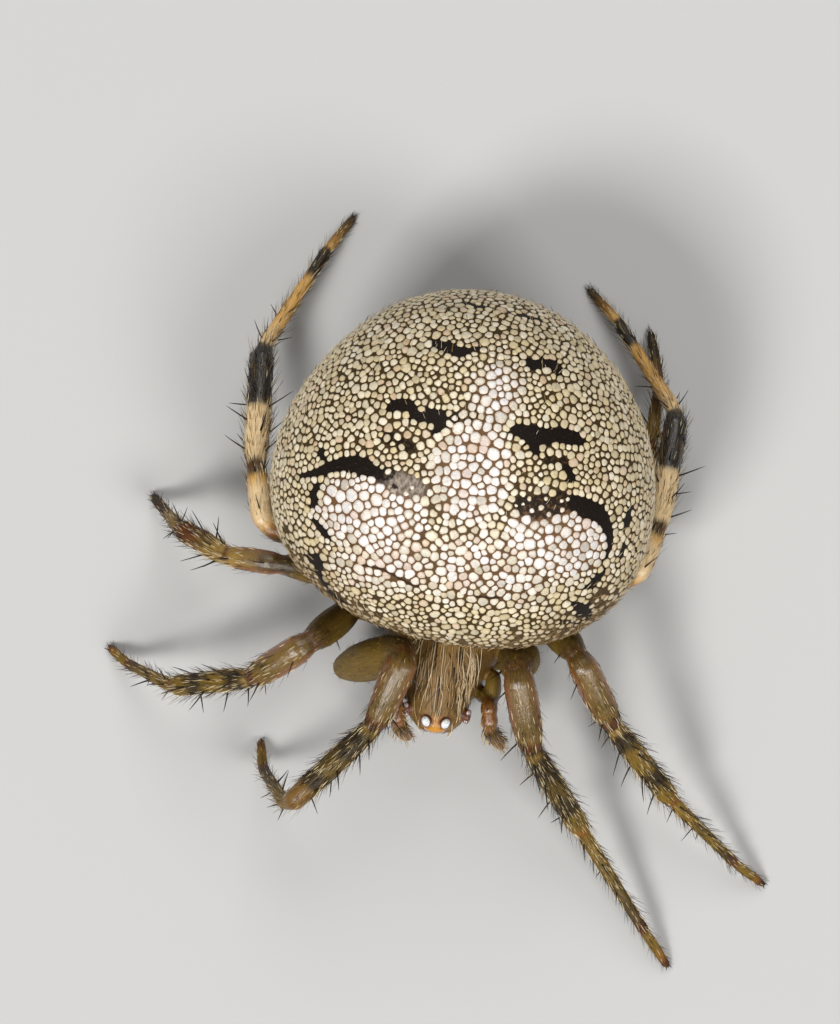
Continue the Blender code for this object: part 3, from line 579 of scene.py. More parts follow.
def add_piece(name, mesh, material):
    """Moves a mesh from design millimetres to the row frame and makes it a piece of the object."""
    points = coordinates(mesh)
    points[:, 2] = np.maximum(points[:, 2], FLOOR_CLEARANCE)
    mesh.vertices.foreach_set("co", ((points + SHIFT) * MM).astype(np.float32).ravel())
    mesh.shade_smooth()
    mesh.update()
    mesh.materials.append(material)
    obj = show(name, mesh)
    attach(obj, "root")
    return obj


def remeshed(points, faces):
    """One closed surface round all the shapes, as points and quads."""
    mesh = plain_mesh("raw", points, faces)
    obj = show("raw", mesh)
    remesh = obj.modifiers.new("remesh", "REMESH")
    remesh.mode = "VOXEL"
    remesh.voxel_size = VOXEL
    bpy.context.view_layer.update()
    evaluated = obj.evaluated_get(bpy.context.evaluated_depsgraph_get())
    made = bpy.data.meshes.new_from_object(evaluated)
    bpy.data.objects.remove(obj)
    bpy.data.meshes.remove(mesh)
    return made


def neighbours_mean(points, edges):
    total = np.zeros_like(points)
    count = np.zeros(len(points))
    for a, b in ((0, 1), (1, 0)):
        for axis in range(3):
            total[:, axis] += np.bincount(edges[:, a], points[edges[:, b], axis], len(points))
        count += np.bincount(edges[:, a], minlength=len(points))
    return total / np.maximum(count, 1)[:, None]


tubes = [leg_tube(name) for name in LEG_JOINTS] + small_tubes()
raw_points, raw_faces = [], []


def add_raw(points, faces):
    start = sum(len(block) for block in raw_points)
    raw_points.append(points)
    raw_faces.extend(tuple(int(index) + start for index in face) for face in faces)


for tube in tubes:
    chosen = np.arange(0, len(tube.points), 1 if len(tube.points) < 200 else 3)
    if chosen[-1] != len(tube.points) - 1:
        chosen = np.append(chosen, len(tube.points) - 1)
    shell, shell_faces = skin_of_rings(tube.rings(chosen))
    if tube.name in LEG_JOINTS:
        shell = press_foot(shell)
    add_raw(shell, shell_faces)
prosoma_points, prosoma_faces = prosoma_skin()
add_raw(prosoma_points, prosoma_faces)
add_raw(*abdomen_skin())
lump_points = []
for centre, radii in small_lumps():
    shell, shell_faces = ellipsoid(centre, radii)
    lump_points.append(shell)
    add_raw(shell, shell_faces)

skin_mesh = remeshed(np.concatenate(raw_points), raw_faces)
skin = coordinates(skin_mesh)
edges = np.empty(2 * len(skin_mesh.edges), np.int32)
skin_mesh.edges.foreach_get("vertices", edges)
edges = edges.reshape(-1, 2)

# Which part each vertex belongs to
arm = skin - ABDOMEN_CENTRE
arm_length = np.linalg.norm(arm, axis=1)
arm_unit = unit(arm)
off_abdomen = arm_length - (abdomen_reach(arm_unit) - COAT_DEPTH)
far = off_abdomen > 0.02

# Rounds that smooth the skin and give its size back
for share in (0.5, -0.53) * 4:
    skin = skin + share * (neighbours_mean(skin, edges) - skin)
skin[~far] = globe_points(arm_unit)[~far]

stations = np.concatenate([tube.points for tube in tubes])
station_radii = np.concatenate([tube.radii for tube in tubes])
station_tube = np.concatenate([np.full(len(tube.points), number) for number, tube in enumerate(tubes)])
station_index = np.concatenate([np.arange(len(tube.points)) for tube in tubes])
nearest = np.zeros(len(skin), np.int32)
off_tube = np.full(len(skin), 9.0)
rows = np.flatnonzero(far)
for block in np.array_split(rows, max(1, len(rows) // 4000)):
    gap = np.linalg.norm(skin[block][:, None].astype(np.float32) - stations[None].astype(np.float32), axis=2)
    gap -= station_radii[None].astype(np.float32)
    nearest[block] = gap.argmin(1)
    off_tube[block] = gap.min(1)
tree = tree_of(np.concatenate([prosoma_points, *lump_points]))
off_body = np.full(len(skin), 9.0)
is_lump = np.zeros(len(skin), bool)
for row in rows:
    if off_tube[row] > -0.05:
        _, number, distance = tree.find(skin[row])
        off_body[row] = distance
        is_lump[row] = number >= len(prosoma_points)
on_abdomen = ~far
on_tube = far & ((off_tube < off_body - 0.012) | (off_tube < 0.008))
on_body = far & ~on_tube
tube_of = np.where(on_tube, station_tube[nearest], -1)
row_of = station_index[nearest]
# Coordinates on the skin
# The bake map of the abdomen is a disc with this direction at its middle
MAP_POLE = unit(np.array([0.03, -0.30, 0.95]))
MAP_X = unit(np.cross(np.array([0.0, 1.0, 0.0]), MAP_POLE))
MAP_Y = np.cross(MAP_POLE, MAP_X)

grain = np.stack((skin[:, 0], skin[:, 2], skin[:, 1]), 1)
where = np.zeros(len(skin))
around = np.zeros(len(skin))
sideways = np.zeros(len(skin))
lie = np.tile(np.array([0.0, -1.0, 0.0]), (len(skin), 1))
for number, tube in enumerate(tubes):
    rows = np.flatnonzero(tube_of == number)
    stations_here = row_of[rows]
    where[rows] = tube.where[stations_here]
    offset = skin[rows] - tube.points[stations_here]
    up = (offset * tube.ups[stations_here]).sum(1)
    side = (offset * tube.sides[stations_here]).sum(1)
    around[rows] = np.arctan2(side, up)
    grain[rows] = np.stack((up + 3 * number, side, tube.along[stations_here]), 1)
    lie[rows] = tube.directions[stations_here]
    level = unit(np.cross(tube.directions[stations_here], np.array([0.0, 0.0, 1.0])))
    sideways[rows] = np.abs((offset * level).sum(1)) / tube.radii[stations_here]


def capsule_distance(points, marks):
    """Distance outside the nearest of the marks, each a chain of balls with cones between them."""
    best = np.full(len(points), 9.0)
    for chain in marks:
        chain = np.array(chain)
        spots = lift_to_abdomen(chain[:, 0], chain[:, 1])
        for (a, b, first, last) in zip(spots, spots[1:], chain[:-1, 2], chain[1:, 2]):
            share = np.clip((points - a) @ (b - a) / ((b - a) @ (b - a)), 0, 1)
            gap = np.linalg.norm(points - a - share[:, None] * (b - a), axis=1)
            best = np.minimum(best, gap - first - share * (last - first))
    return best


def pale_and_highlight_at(points):
    """How white the abdomen is, from 0 to 1: its white cells, with a painted highlight in the fields."""
    pale = np.zeros(len(points))
    for x, y, half_x, half_y, strength in PALE_AND_HIGHLIGHT_FIELDS:
        away = ((points[:, 0] - x) / half_x) ** 2 + ((points[:, 1] - y) / half_y) ** 2
        pale = np.maximum(pale, strength * np.exp(-away ** 1.5 * 0.7))
    return pale * smoothstep(3.4, 4.4, points[:, 2])


upper = np.flatnonzero(on_abdomen)
marks_here = np.ones((len(skin), 5))
for column, marks in enumerate((BLACK_MARKS, MOTTLED_MARKS, FAINT_MARKS, GREY_MARKS, PIT_MARKS)):
    marks_here[upper, column] = np.minimum(capsule_distance(skin[upper], marks), 1)
# The pale fields hold a painted highlight as well as the cells' own white
pale = pale_and_highlight_at(skin)


def front_rim_at(points):
    """How near a point of the abdomen is to its hairy front rim, from 0 to 1."""
    arms = unit(points - ABDOMEN_CENTRE)
    uneven = 0.05 * np.sin(points[:, 0] * 9.0) + 0.04 * np.sin(points[:, 0] * 23.0 + points[:, 2] * 11.0)
    return smoothstep(0.50, 0.04, arms[:, 2] + uneven) * smoothstep(-0.30, -0.75, arms[:, 1])


rim_share = front_rim_at(skin) * on_abdomen

# Paint of legs, head and mouth parts
FEMUR_OLIVE, OLIVE, YELLOW = (0.165, 0.098, 0.012), (0.108, 0.066, 0.010), (0.175, 0.105, 0.011)
DARK, UMBER, BLACK = (0.038, 0.023, 0.006), (0.070, 0.038, 0.008), (0.008, 0.005, 0.003)
RED_BROWN, RUST, ORANGE = (0.110, 0.030, 0.006), (0.200, 0.070, 0.008), (0.230, 0.105, 0.008)
TAN, KNEE, CREAM = (0.290, 0.175, 0.040), (0.165, 0.092, 0.018), (0.840, 0.610, 0.330)
GOLD_SKIN, AMBER = (0.205, 0.118, 0.012), (0.640, 0.350, 0.090)
PATELLA_EDGE, SMOOTH_AMBER = (0.235, 0.062, 0.007), (0.180, 0.088, 0.012)
CHELICERA_BROWN, SOFT_BROWN = (0.16, 0.075, 0.020), (0.16, 0.085, 0.030)
HEAD_BROWN, EYE_AMBER, HUMP_RED = (0.225, 0.122, 0.030), (0.60, 0.25, 0.016), (0.130, 0.035, 0.010)
PALP_KNEE_OLIVE, STERNUM_BROWN, EYE_RING = (0.225, 0.135, 0.022), (0.070, 0.036, 0.014), (0.140, 0.024, 0.004)
FRONT_LEG_START = (
    (0.0, UMBER), (1.0, FEMUR_OLIVE), (1.75, FEMUR_OLIVE), (1.90, UMBER), (1.97, RED_BROWN), (2.06, UMBER),
    (2.20, KNEE), (2.45, KNEE), (2.70, OLIVE), (2.84, KNEE), (2.93, RED_BROWN), (3.00, UMBER),
)
# Colours along each leg: segment number plus fraction, and colour
LEG_PAINT = {
    "1": (*FRONT_LEG_START, (3.06, GOLD_SKIN), (3.13, DARK), (3.33, DARK), (3.43, OLIVE), (3.56, OLIVE),
          (3.62, DARK), (3.72, DARK), (3.79, YELLOW), (3.90, YELLOW), (3.95, ORANGE), (3.99, RUST),
          (4.03, GOLD_SKIN), (4.25, YELLOW), (4.55, OLIVE), (4.85, UMBER), (4.96, RED_BROWN), (5.03, GOLD_SKIN),
          (5.35, GOLD_SKIN), (5.65, ORANGE), (5.85, RED_BROWN), (6.0, BLACK)),
    "2": (*FRONT_LEG_START, (3.06, TAN), (3.13, DARK), (3.24, DARK), (3.33, GOLD_SKIN), (3.55, YELLOW),
          (3.62, DARK), (3.73, DARK), (3.81, YELLOW), (3.92, GOLD_SKIN), (3.96, ORANGE), (3.99, RUST),
          (4.03, GOLD_SKIN), (4.30, GOLD_SKIN), (4.45, OLIVE), (4.60, YELLOW), (4.84, UMBER), (4.96, RED_BROWN),
          (5.03, GOLD_SKIN), (5.35, YELLOW), (5.65, ORANGE), (5.85, RED_BROWN), (6.0, BLACK)),
    "3": ((0.0, UMBER), (1.0, FEMUR_OLIVE), (1.80, FEMUR_OLIVE), (1.93, DARK), (2.04, DARK), (2.30, UMBER),
          (2.40, KNEE), (2.85, TAN), (2.95, RED_BROWN), (3.03, TAN), (3.30, TAN), (3.46, KNEE), (3.62, RED_BROWN),
          (3.95, RED_BROWN), (4.02, GOLD_SKIN), (4.50, GOLD_SKIN), (4.78, RED_BROWN), (4.95, DARK),
          (5.08, RED_BROWN), (5.40, DARK), (6.0, BLACK)),
    "4": ((0.0, UMBER), (1.0, FEMUR_OLIVE), (1.80, FEMUR_OLIVE), (1.93, RUST), (2.04, AMBER), (2.20, CREAM),
          (2.60, CREAM), (2.76, AMBER), (2.86, UMBER), (2.94, RED_BROWN), (3.02, UMBER), (3.07, CREAM),
          (3.47, CREAM), (3.515, BLACK), (3.98, BLACK), (4.02, CREAM), (4.30, AMBER), (4.70, AMBER), (4.76, BLACK),
          (4.98, BLACK), (5.03, AMBER), (5.40, ORANGE), (5.74, UMBER), (6.0, BLACK)),
}
PALP_PAINT = ((0.0, UMBER), (1.0, OLIVE), (1.92, OLIVE), (2.05, RED_BROWN), (2.4, RUST), (2.9, RUST), (3.1, UMBER),
              (3.6, RUST), (4.0, UMBER))
# Lower is glossier. Gloss is the strength of the clear coat over the skin
LEG_ROUGHNESS = (
    (0.0, 0.55), (1.0, 0.60), (1.85, 0.55), (1.98, 0.26), (2.60, 0.30), (2.9, 0.42), (4.0, 0.46), (6.0, 0.50),
)
LEG_GLOSS = ((0.0, 0.05), (1.85, 0.08), (1.97, 1.0), (2.45, 1.0), (2.70, 0.45), (2.90, 0.25), (3.05, 0.10), (6.0, 0.06))
BAND_GLOSS = (
    (0.0, 0.05), (1.85, 0.08), (1.97, 0.9), (2.80, 0.60), (3.45, 0.30), (3.52, 1.0), (3.98, 1.0), (4.05, 0.30),
    (6.0, 0.15),
)


def along_colours(stops, values):
    places = [place for place, _ in stops]
    return np.stack([np.interp(values, places, [colour[axis] for _, colour in stops]) for axis in range(3)], 1)


paint = np.tile(np.array((0.165, 0.095, 0.028)), (len(skin), 1))
rough = np.full(len(skin), 0.42)
gloss = np.full(len(skin), 0.10)
edge_on = smoothstep(0.52, 0.92, sideways)
for number, tube in enumerate(tubes):
    rows = tube_of == number
    if tube.name in LEG_JOINTS:
        pair = tube.name[1]
        paint[rows] = along_colours(LEG_PAINT[pair], where[rows])
        rough[rows] = np.interp(where[rows], *zip(*LEG_ROUGHNESS))
        gloss[rows] = np.interp(where[rows], *zip(*(BAND_GLOSS if pair == "4" else LEG_GLOSS)))
        # The patella is red along both its edges
        redness = edge_on[rows] * np.interp(where[rows], (1.90, 2.0, 2.65, 2.85), (0, 1, 1, 0))
        paint[rows] = toward(paint[rows], PATELLA_EDGE, redness * (0.30 if pair == "4" else 0.80))
        if tube.name == "R1":
            smooth_end = smoothstep(3.72, 3.80, where[rows]) * smoothstep(4.04, 4.00, where[rows])
            paint[rows] = toward(paint[rows], SMOOTH_AMBER, smooth_end)
            gloss[rows] = np.maximum(gloss[rows], 0.5 * smooth_end)
    elif tube.name.startswith("palp"):
        paint[rows] = along_colours(PALP_PAINT, where[rows])
        rough[rows] = 0.26
        gloss[rows] = np.interp(where[rows], (1.9, 2.05, 2.9, 3.2), (0.2, 1.0, 0.9, 0.2))
    elif tube.name.startswith("chelicera"):
        paint[rows] = CHELICERA_BROWN
        rough[rows], gloss[rows] = 0.28, 0.5
    else:
        paint[rows] = SOFT_BROWN
# The head is brown, the eye hill amber with dark rings round its eyes, the side humps red and the sternum dark
head = on_body & (skin[:, 2] > 1.35)
amber = head & is_lump & (skin[:, 1] < -4.3)
side_hump = amber & (np.abs(skin[:, 0] - PROSOMA_X) > 0.42)
palp_knee = on_body & is_lump & (np.linalg.norm((skin - PALP_KNEE[0]) / PALP_KNEE[1], axis=1) < 1.15)
head = head & ~palp_knee
paint[head] = HEAD_BROWN
paint[amber] = EYE_AMBER
paint[side_hump] = HUMP_RED
paint[palp_knee] = PALP_KNEE_OLIVE
paint[on_body & ~head & ~palp_knee] = STERNUM_BROWN
for eye, _, centre, radius in eye_places():
    if eye == "rear_median":
        gap = np.linalg.norm(skin - centre, axis=1)
        paint = toward(paint, EYE_RING, smoothstep(radius + 0.055, radius + 0.020, gap) * head)
gloss[amber] = 0.7
gloss[palp_knee] = 0.35
paint = paint + 0.5 * (neighbours_mean(paint, edges) - paint)

set_attribute(skin_mesh, "gloss", gloss)
set_attribute(skin_mesh, "grain", grain)
set_attribute(skin_mesh, "marks", marks_here[:, :3])
# The third field is the paleness, with its painted highlight
set_attribute(skin_mesh, "fields", np.stack((marks_here[:, 3], marks_here[:, 4], pale), 1))
set_attribute(skin_mesh, "rim", rim_share)
set_attribute(skin_mesh, "rough", rough)
set_attribute(skin_mesh, "height", skin[:, 2])
set_attribute(skin_mesh, "paint", np.concatenate([paint, np.ones((len(paint), 1))], 1))


# Materials
class Graph:
    """Short calls for making shader nodes."""

    def __init__(self, name):
        self.material = bpy.data.materials.new(name)
        self.material.use_nodes = True
        self.tree = self.material.node_tree
        self.shader = self.tree.nodes["Principled BSDF"]

    def node(self, kind, inputs=(), **settings):
        made = self.tree.nodes.new("ShaderNode" + kind)
        for key, value in settings.items():
            setattr(made, key, value)
        for key, value in dict(inputs).items():
            self.put(made.inputs[key], value)
        return made

    def put(self, socket, value):
        if hasattr(value, "is_output"):
            self.tree.links.new(value, socket)
        else:
            socket.default_value = value

    def set(self, **inputs):
        for key, value in inputs.items():
            self.put(self.shader.inputs[key.replace("_", " ")], value)

    def read(self, name, kind="Fac"):
        return self.node("Attribute", attribute_name=name).outputs[kind]

    def math(self, operation, *values, clamp=False):
        return self.node("Math", dict(enumerate(values)), operation=operation, use_clamp=clamp).outputs[0]

    def vector(self, operation, *values):
        made = self.node("VectorMath", operation=operation)
        for number, value in enumerate(values):
            self.put(made.inputs["Scale" if operation == "SCALE" and number == 1 else number], value)
        return made.outputs[0]

    def step(self, value, low, high, start=0.0, end=1.0):
        ends = {"Value": value, "From Min": low, "From Max": high, "To Min": start, "To Max": end}
        return self.node("MapRange", ends, interpolation_type="SMOOTHSTEP").outputs[0]

    def mix(self, share, first, second, blend="MIX"):
        made = self.node("Mix", {0: share, 6: first, 7: second}, data_type="RGBA", blend_type=blend)
        return made.outputs[2]

    def blend(self, share, first, second):
        return self.node("Mix", {0: share, 2: first, 3: second}).outputs[0]

    def noise(self, vector, scale, detail=2.0, roughness=0.5, output="Fac"):
        settings = {"Vector": vector, "Scale": scale, "Detail": detail, "Roughness": roughness}
        return self.node("TexNoise", settings).outputs[output]

    def bump(self, height, distance, strength=1.0, normal=None):
        made = self.node("Bump", {"Height": height, "Distance": distance, "Strength": strength})
        if normal is not None:
            self.put(made.inputs["Normal"], normal)
        return made.outputs[0]


def rgb(red, green, blue):
    return (red, green, blue, 1.0)


def globe_material():
    """The abdomen under its mosaic: a dark ground with black marks, a grey field and a brown underside."""
    g = Graph("abdomen_ground")
    place = g.read("grain", "Vector")
    marks = g.node("SeparateXYZ", {0: g.read("marks", "Vector")}).outputs
    fields = g.node("SeparateXYZ", {0: g.read("fields", "Vector")}).outputs
    fine = g.noise(place, 26.0, 3.0, 0.65)
    patchy = g.noise(place, 2.6, 3.0, 0.6)
    uneven = g.math("SUBTRACT", g.noise(place, 13.0, 4.0, 0.65), 0.5)
    ragged = g.math("MULTIPLY", uneven, 0.16)
    slight = g.math("MULTIPLY", uneven, 0.05)
    # The ground is lighter in the pale fields, which carry a painted highlight
    ground = g.mix(g.step(fields[2], 0.15, 0.8), rgb(0.050, 0.029, 0.009), rgb(0.150, 0.078, 0.034))
    ground = g.mix(g.step(fine, 0.56, 0.74, 0, 0.45), ground, rgb(0.20, 0.125, 0.045))
    rim_ground = g.mix(g.step(fine, 0.38, 0.66), rgb(0.050, 0.028, 0.010), rgb(0.26, 0.165, 0.065))
    ground = g.mix(g.read("rim"), ground, rim_ground)
    wide = g.math("MULTIPLY", g.math("SUBTRACT", patchy, 0.5), 0.20)
    grey_here = g.step(g.math("ADD", g.math("ADD", fields[0], ragged), wide), 0.09, -0.10)
    wrinkled = g.noise(g.vector("MULTIPLY", place, (1.0, 1.0, 0.45)), 17.0, 3.0, 0.6)
    grey = g.mix(g.step(wrinkled, 0.34, 0.70), rgb(0.120, 0.088, 0.066), rgb(0.40, 0.33, 0.265))
    grey = g.mix(g.step(g.math("ADD", marks[0], slight), 0.34, 0.03), grey, rgb(0.022, 0.017, 0.014))
    ground = g.mix(g.math("MULTIPLY", grey_here, 0.95), ground, grey)
    ground = g.mix(g.step(g.math("ADD", marks[2], slight), 0.012, -0.016, 0, 0.9), ground, rgb(0.030, 0.016, 0.008))
    mottle = g.step(g.math("ADD", marks[1], ragged), 0.05, -0.01)
    mottle = g.math("MULTIPLY", mottle, g.step(g.noise(place, 13.0, 3.0, 0.6), 0.64, 0.50, 0, 0.9))
    black = g.math("MAXIMUM", mottle, g.step(g.math("ADD", marks[0], ragged), 0.085, 0.045))
    speck = g.step(g.noise(place, 48.0, 2.0, 0.7), 0.64, 0.74, 0, 0.7)
    ground = g.mix(black, ground, g.mix(speck, rgb(0.0080, 0.0042, 0.0022), rgb(0.17, 0.14, 0.12)))
    ground = g.mix(g.step(fields[1], 0.014, -0.016), ground, rgb(0.024, 0.012, 0.009))
    ridge = g.math("MULTIPLY", g.step(fields[1], 0.075, 0.045), g.step(g.noise(place, 7.0, 2.0), 0.47, 0.60))
    ground = g.mix(g.math("MULTIPLY", ridge, 0.8), ground, rgb(0.52, 0.44, 0.35))
    height = g.math("ADD", g.read("height"), g.math("MULTIPLY", g.math("SUBTRACT", patchy, 0.5), 1.3))
    under = g.mix(g.step(patchy, 0.42, 0.62), rgb(0.060, 0.032, 0.014), rgb(0.17, 0.10, 0.045))
    ground = g.mix(g.step(height, 2.3, 1.5), ground, under)
    g.set(Base_Color=ground, Roughness=g.blend(black, 0.56, 0.50))
    g.set(Normal=g.bump(g.math("ADD", fine, g.math("MULTIPLY", patchy, 0.5)), 0.000012, 0.6))
    g.set(IOR=1.45, Specular_IOR_Level=0.18)
    return g.material


def cell_material():
    g = Graph("abdomen_cells")
    place = g.vector("SCALE", g.node("TexCoord").outputs["Object"], 1 / MM)
    fine = g.noise(place, 34.0, 2.0, 0.6)
    own = g.mix(g.step(fine, 0.36, 0.60, 0.26, 0.0), g.read("paint", "Color"), rgb(0.42, 0.27, 0.16))
    g.set(Base_Color=own, Roughness=g.blend(fine, 0.34, 0.46), IOR=1.5, Coat_Weight=0.12, Coat_Roughness=0.30)
    g.set(Normal=g.bump(fine, 0.000006, 0.5))
    return g.material


def limb_material():
    g = Graph("limb_skin")
    grain = g.read("grain", "Vector")
    streaks = g.noise(g.vector("MULTIPLY", grain, (1.0, 1.0, 0.13)), 24.0, 3.0, 0.6)
    speckle = g.noise(grain, 34.0, 3.0, 0.65)
    blotch = g.noise(grain, 4.5, 3.0, 0.55)
    own = g.read("paint", "Color")
    own = g.mix(g.step(streaks, 0.50, 0.72, 0, 0.50), own, g.mix(0.30, own, rgb(0.42, 0.27, 0.07)))
    own = g.mix(g.step(streaks, 0.46, 0.30, 0, 0.55), own, g.mix(0.75, own, rgb(0.018, 0.010, 0.004)))
    own = g.mix(g.step(blotch, 0.50, 0.70, 0, 0.40), own, g.mix(0.65, own, rgb(0.030, 0.015, 0.005)))
    own = g.mix(g.step(speckle, 0.56, 0.74, 0, 0.30), own, rgb(0.022, 0.012, 0.004))
    flecks = g.noise(grain, 27.0, 1.0, 0.5)
    own = g.mix(g.step(flecks, 0.66, 0.74, 0, 0.55), own, g.mix(0.5, own, rgb(0.62, 0.46, 0.10)))
    g.set(Base_Color=own)
    wavering = g.math("MULTIPLY", g.math("SUBTRACT", speckle, 0.5), 0.22)
    g.set(Roughness=g.math("ADD", g.read("rough"), wavering, clamp=True))
    relief = g.math("ADD", streaks, g.math("MULTIPLY", speckle, 0.5))
    g.set(Normal=g.bump(relief, 0.000015, 0.9))
    lines = g.noise(g.vector("MULTIPLY", grain, (1.0, 1.0, 0.10)), 15.0, 2.0, 0.6)
    g.set(Coat_Normal=g.bump(g.math("ADD", g.math("MULTIPLY", lines, 1.4), speckle), 0.0000095, 1.0))
    g.set(IOR=1.52, Specular_IOR_Level=0.25, Coat_Weight=g.read("gloss"), Coat_Roughness=0.14)
    return g.material


def eye_material():
    """A dark amber lens with a painted reflection: the pale oval that a lamp leaves in it."""
    g = Graph("spider_eye")
    mist = g.noise(g.read("sight", "Vector"), 2.5, 2.0)
    # The painted reflection of a lamp: white with a grey-blue mist in it
    pale = g.mix(g.step(mist, 0.40, 0.62), rgb(0.95, 0.95, 0.92), rgb(0.62, 0.66, 0.68))
    g.set(Base_Color=g.mix(g.read("glint"), rgb(0.110, 0.022, 0.004), pale))
    g.set(Roughness=0.06, Coat_Weight=1.0, Coat_Roughness=0.03, IOR=1.55)
    return g.material


def floor_material():
    g = Graph("studio_floor")
    place = g.node("TexCoord").outputs["Object"]
    cloud = g.noise(place, 3.0, 2.0)
    g.set(Base_Color=g.mix(cloud, rgb(0.50, 0.495, 0.48), rgb(0.55, 0.545, 0.53)), Roughness=0.9)
    return g.material


# Where each vertex lies on the unwrapped skin
def disc_place(arms, middle, reach):
    """Place on a round map of the whole abdomen, for unit directions from its centre."""
    from_pole = np.sqrt(np.clip((1 - arms @ MAP_POLE) / 2, 0, 1))
    outward = unit(np.stack((arms @ MAP_X, arms @ MAP_Y), 1))
    return middle + reach * from_pole[:, None] * outward


atlas = disc_place(arm_unit, 0.25, 0.24)
bearing = np.arctan2(skin[:, 0] - PROSOMA_X, skin[:, 2] - 1.5) / (2 * math.pi) + 0.5
atlas[on_body] = np.stack((0.52 + 0.46 * bearing, 0.02 + 0.46 * (skin[:, 1] + 5.2) / 5.2), 1)[on_body]
for number, tube in enumerate(tubes):
    rows = tube_of == number
    share = tube.along[row_of[rows]] / tube.along[-1]
    strip = 0.51 + 0.48 * (number + 0.5 + 0.45 * around[rows] / math.pi) / len(tubes)
    atlas[rows] = np.stack((0.01 + 0.98 * share, strip), 1)

# The coat: each hair is a thin, tapering solid
normals = np.empty(3 * len(skin), np.float32)
skin[:, 2] = np.maximum(skin[:, 2], 0)
skin_mesh.vertices.foreach_set("co", skin.astype(np.float32).ravel())
skin_mesh.update()
skin_mesh.vertices.foreach_get("normal", normals)
normals = normals.reshape(-1, 3).astype(float)
skin_mesh.calc_loop_triangles()
triangles = np.empty(3 * len(skin_mesh.loop_triangles), np.int32)
skin_mesh.loop_triangles.foreach_get("vertices", triangles)
triangles = triangles.reshape(-1, 3)
corner_a, corner_b, corner_c = (skin[triangles[:, corner]] for corner in range(3))
triangle_area = np.linalg.norm(np.cross(corner_b - corner_a, corner_c - corner_a), axis=1) / 2
# Where a hair's rings are along it, and their share of its radius
HAIR_RINGS = np.array((0.0, 0.38, 0.74))
HAIR_TAPER = np.array((1.0, 0.86, 0.55))
# Width of a hair's own patch on its bake map
BAKE_PATCH = 0.003
STRANDS, STRAND_STATIONS = 150, 10
STRAND_BROWN, STRAND_PALE, STRAND_BLACK = (0.42, 0.25, 0.09), (0.92, 0.76, 0.50), (0.020, 0.011, 0.006)
STRAND_RADIUS, STRAND_RADIUS_SPREAD = 0.0082, 0.0014
DARK_STRANDS = 0.24


def scatter(dice, density):
    """Roots spread over the skin at a density per square millimetre, given for each vertex."""
    expected = triangle_area * density[triangles].mean(1)
    count = int(round(expected.sum()))
    chosen = dice.choice(len(triangles), count, p=expected / expected.sum())
    share = dice.random((count, 2))
    share = np.where(share.sum(1, keepdims=True) > 1, 1 - share, share)
    weights = np.stack((1 - share.sum(1), share[:, 0], share[:, 1]), 1)
    corners = triangles[chosen]
    roots = (skin[corners] * weights[:, :, None]).sum(1)
    return roots, corners[np.arange(count), weights.argmax(1)]


def hair_solids(name, spine, over, beside, radii, taper, colours, places, sides=3):
    """One mesh of thin closed solids. Spine holds each one's stations, the last of which is its tip."""
    count, stations = spine.shape[:2]
    rings = stations - 1
    turns = 2 * math.pi * np.arange(sides) / sides
    ring = np.cos(turns)[None, None, :, None] * over[:, None, None]
    ring = ring + np.sin(turns)[None, None, :, None] * beside[:, None, None]
    points = spine[:, :-1, None] + ring * (radii[:, None] * taper[None])[:, :, None, None]
    per_hair = rings * sides + 1
    points = np.concatenate([points.reshape(count, -1, 3), spine[:, -1:]], 1)
    faces = [(0, side, side + 1) for side in range(1, sides - 1)]
    for band in range(rings - 1):
        for side in range(sides):
            after = (side + 1) % sides
            low, up = band * sides, (band + 1) * sides
            faces += [(low + side, up + after, low + after), (low + side, up + side, up + after)]
    low = (rings - 1) * sides
    faces += [(low + side, per_hair - 1, low + (side + 1) % sides) for side in range(sides)]
    all_faces = repeated(faces, per_hair, count)
    mesh = triangle_mesh(name, points.reshape(-1, 3), all_faces)
    tips = np.append(np.repeat(np.arange(rings) / rings, sides), 1.0)
    shade = colours[:, None] * (0.80 + 0.35 * tips)[None, :, None]
    set_attribute(mesh, "paint", np.concatenate([shade.reshape(-1, 3), np.ones((count * per_hair, 1))], 1))
    patch = np.stack((tips - 0.5, np.append(np.tile(np.arange(sides) / sides, rings), 0.5) - 0.5), 1) * BAKE_PATCH
    add_bake_map(mesh, (places[:, None] + patch[None]).reshape(-1, 2), all_faces)
    return mesh


def hair_mesh(name, dice, roots, ups, lies, lengths, radii, lifts, droop, spread, colours, places,
              rings=HAIR_RINGS, taper=HAIR_TAPER, sides=3, curl=0.07):
    """One mesh of tapering hairs. Angles are in radians, and the other numbers in millimetres."""
    count = len(roots)
    lies = unit(lies - ups * (lies * ups).sum(1, keepdims=True))
    beside = np.cross(ups, lies)
    twist = dice.normal(0, 1, count)[:, None] * spread
    lies = lies * np.cos(twist) + beside * np.sin(twist)
    beside = np.cross(ups, lies)
    heads = lies * np.cos(lifts)[:, None] + ups * np.sin(lifts)[:, None]
    over = np.cross(heads, beside)
    bends = dice.normal(0, curl, count)[:, None]
    roots = roots - heads * (radii * 1.5 + 0.012)[:, None]
    shares = np.append(rings, 1.0)
    spine = roots[:, None] + lengths[:, None, None] * (
        heads[:, None] * shares[None, :, None] + (bends * beside - droop * ups)[:, None] * shares[None, :, None] ** 2)
    return hair_solids(name, spine, over, beside, radii, taper, colours, places, sides)


def hair_material(name, roughness, coat_weight):
    g = Graph(name)
    own = g.read("paint", "Color")
    g.set(Base_Color=own, Roughness=roughness, Coat_Weight=coat_weight, Coat_Roughness=0.25)
    g.set(IOR=1.5, Specular_IOR_Level=0.30)
    return g.material


hair_look = hair_material("spider_hair", 0.40, 0.08)
bristle_look = hair_material("spider_bristle", 0.30, 0.20)


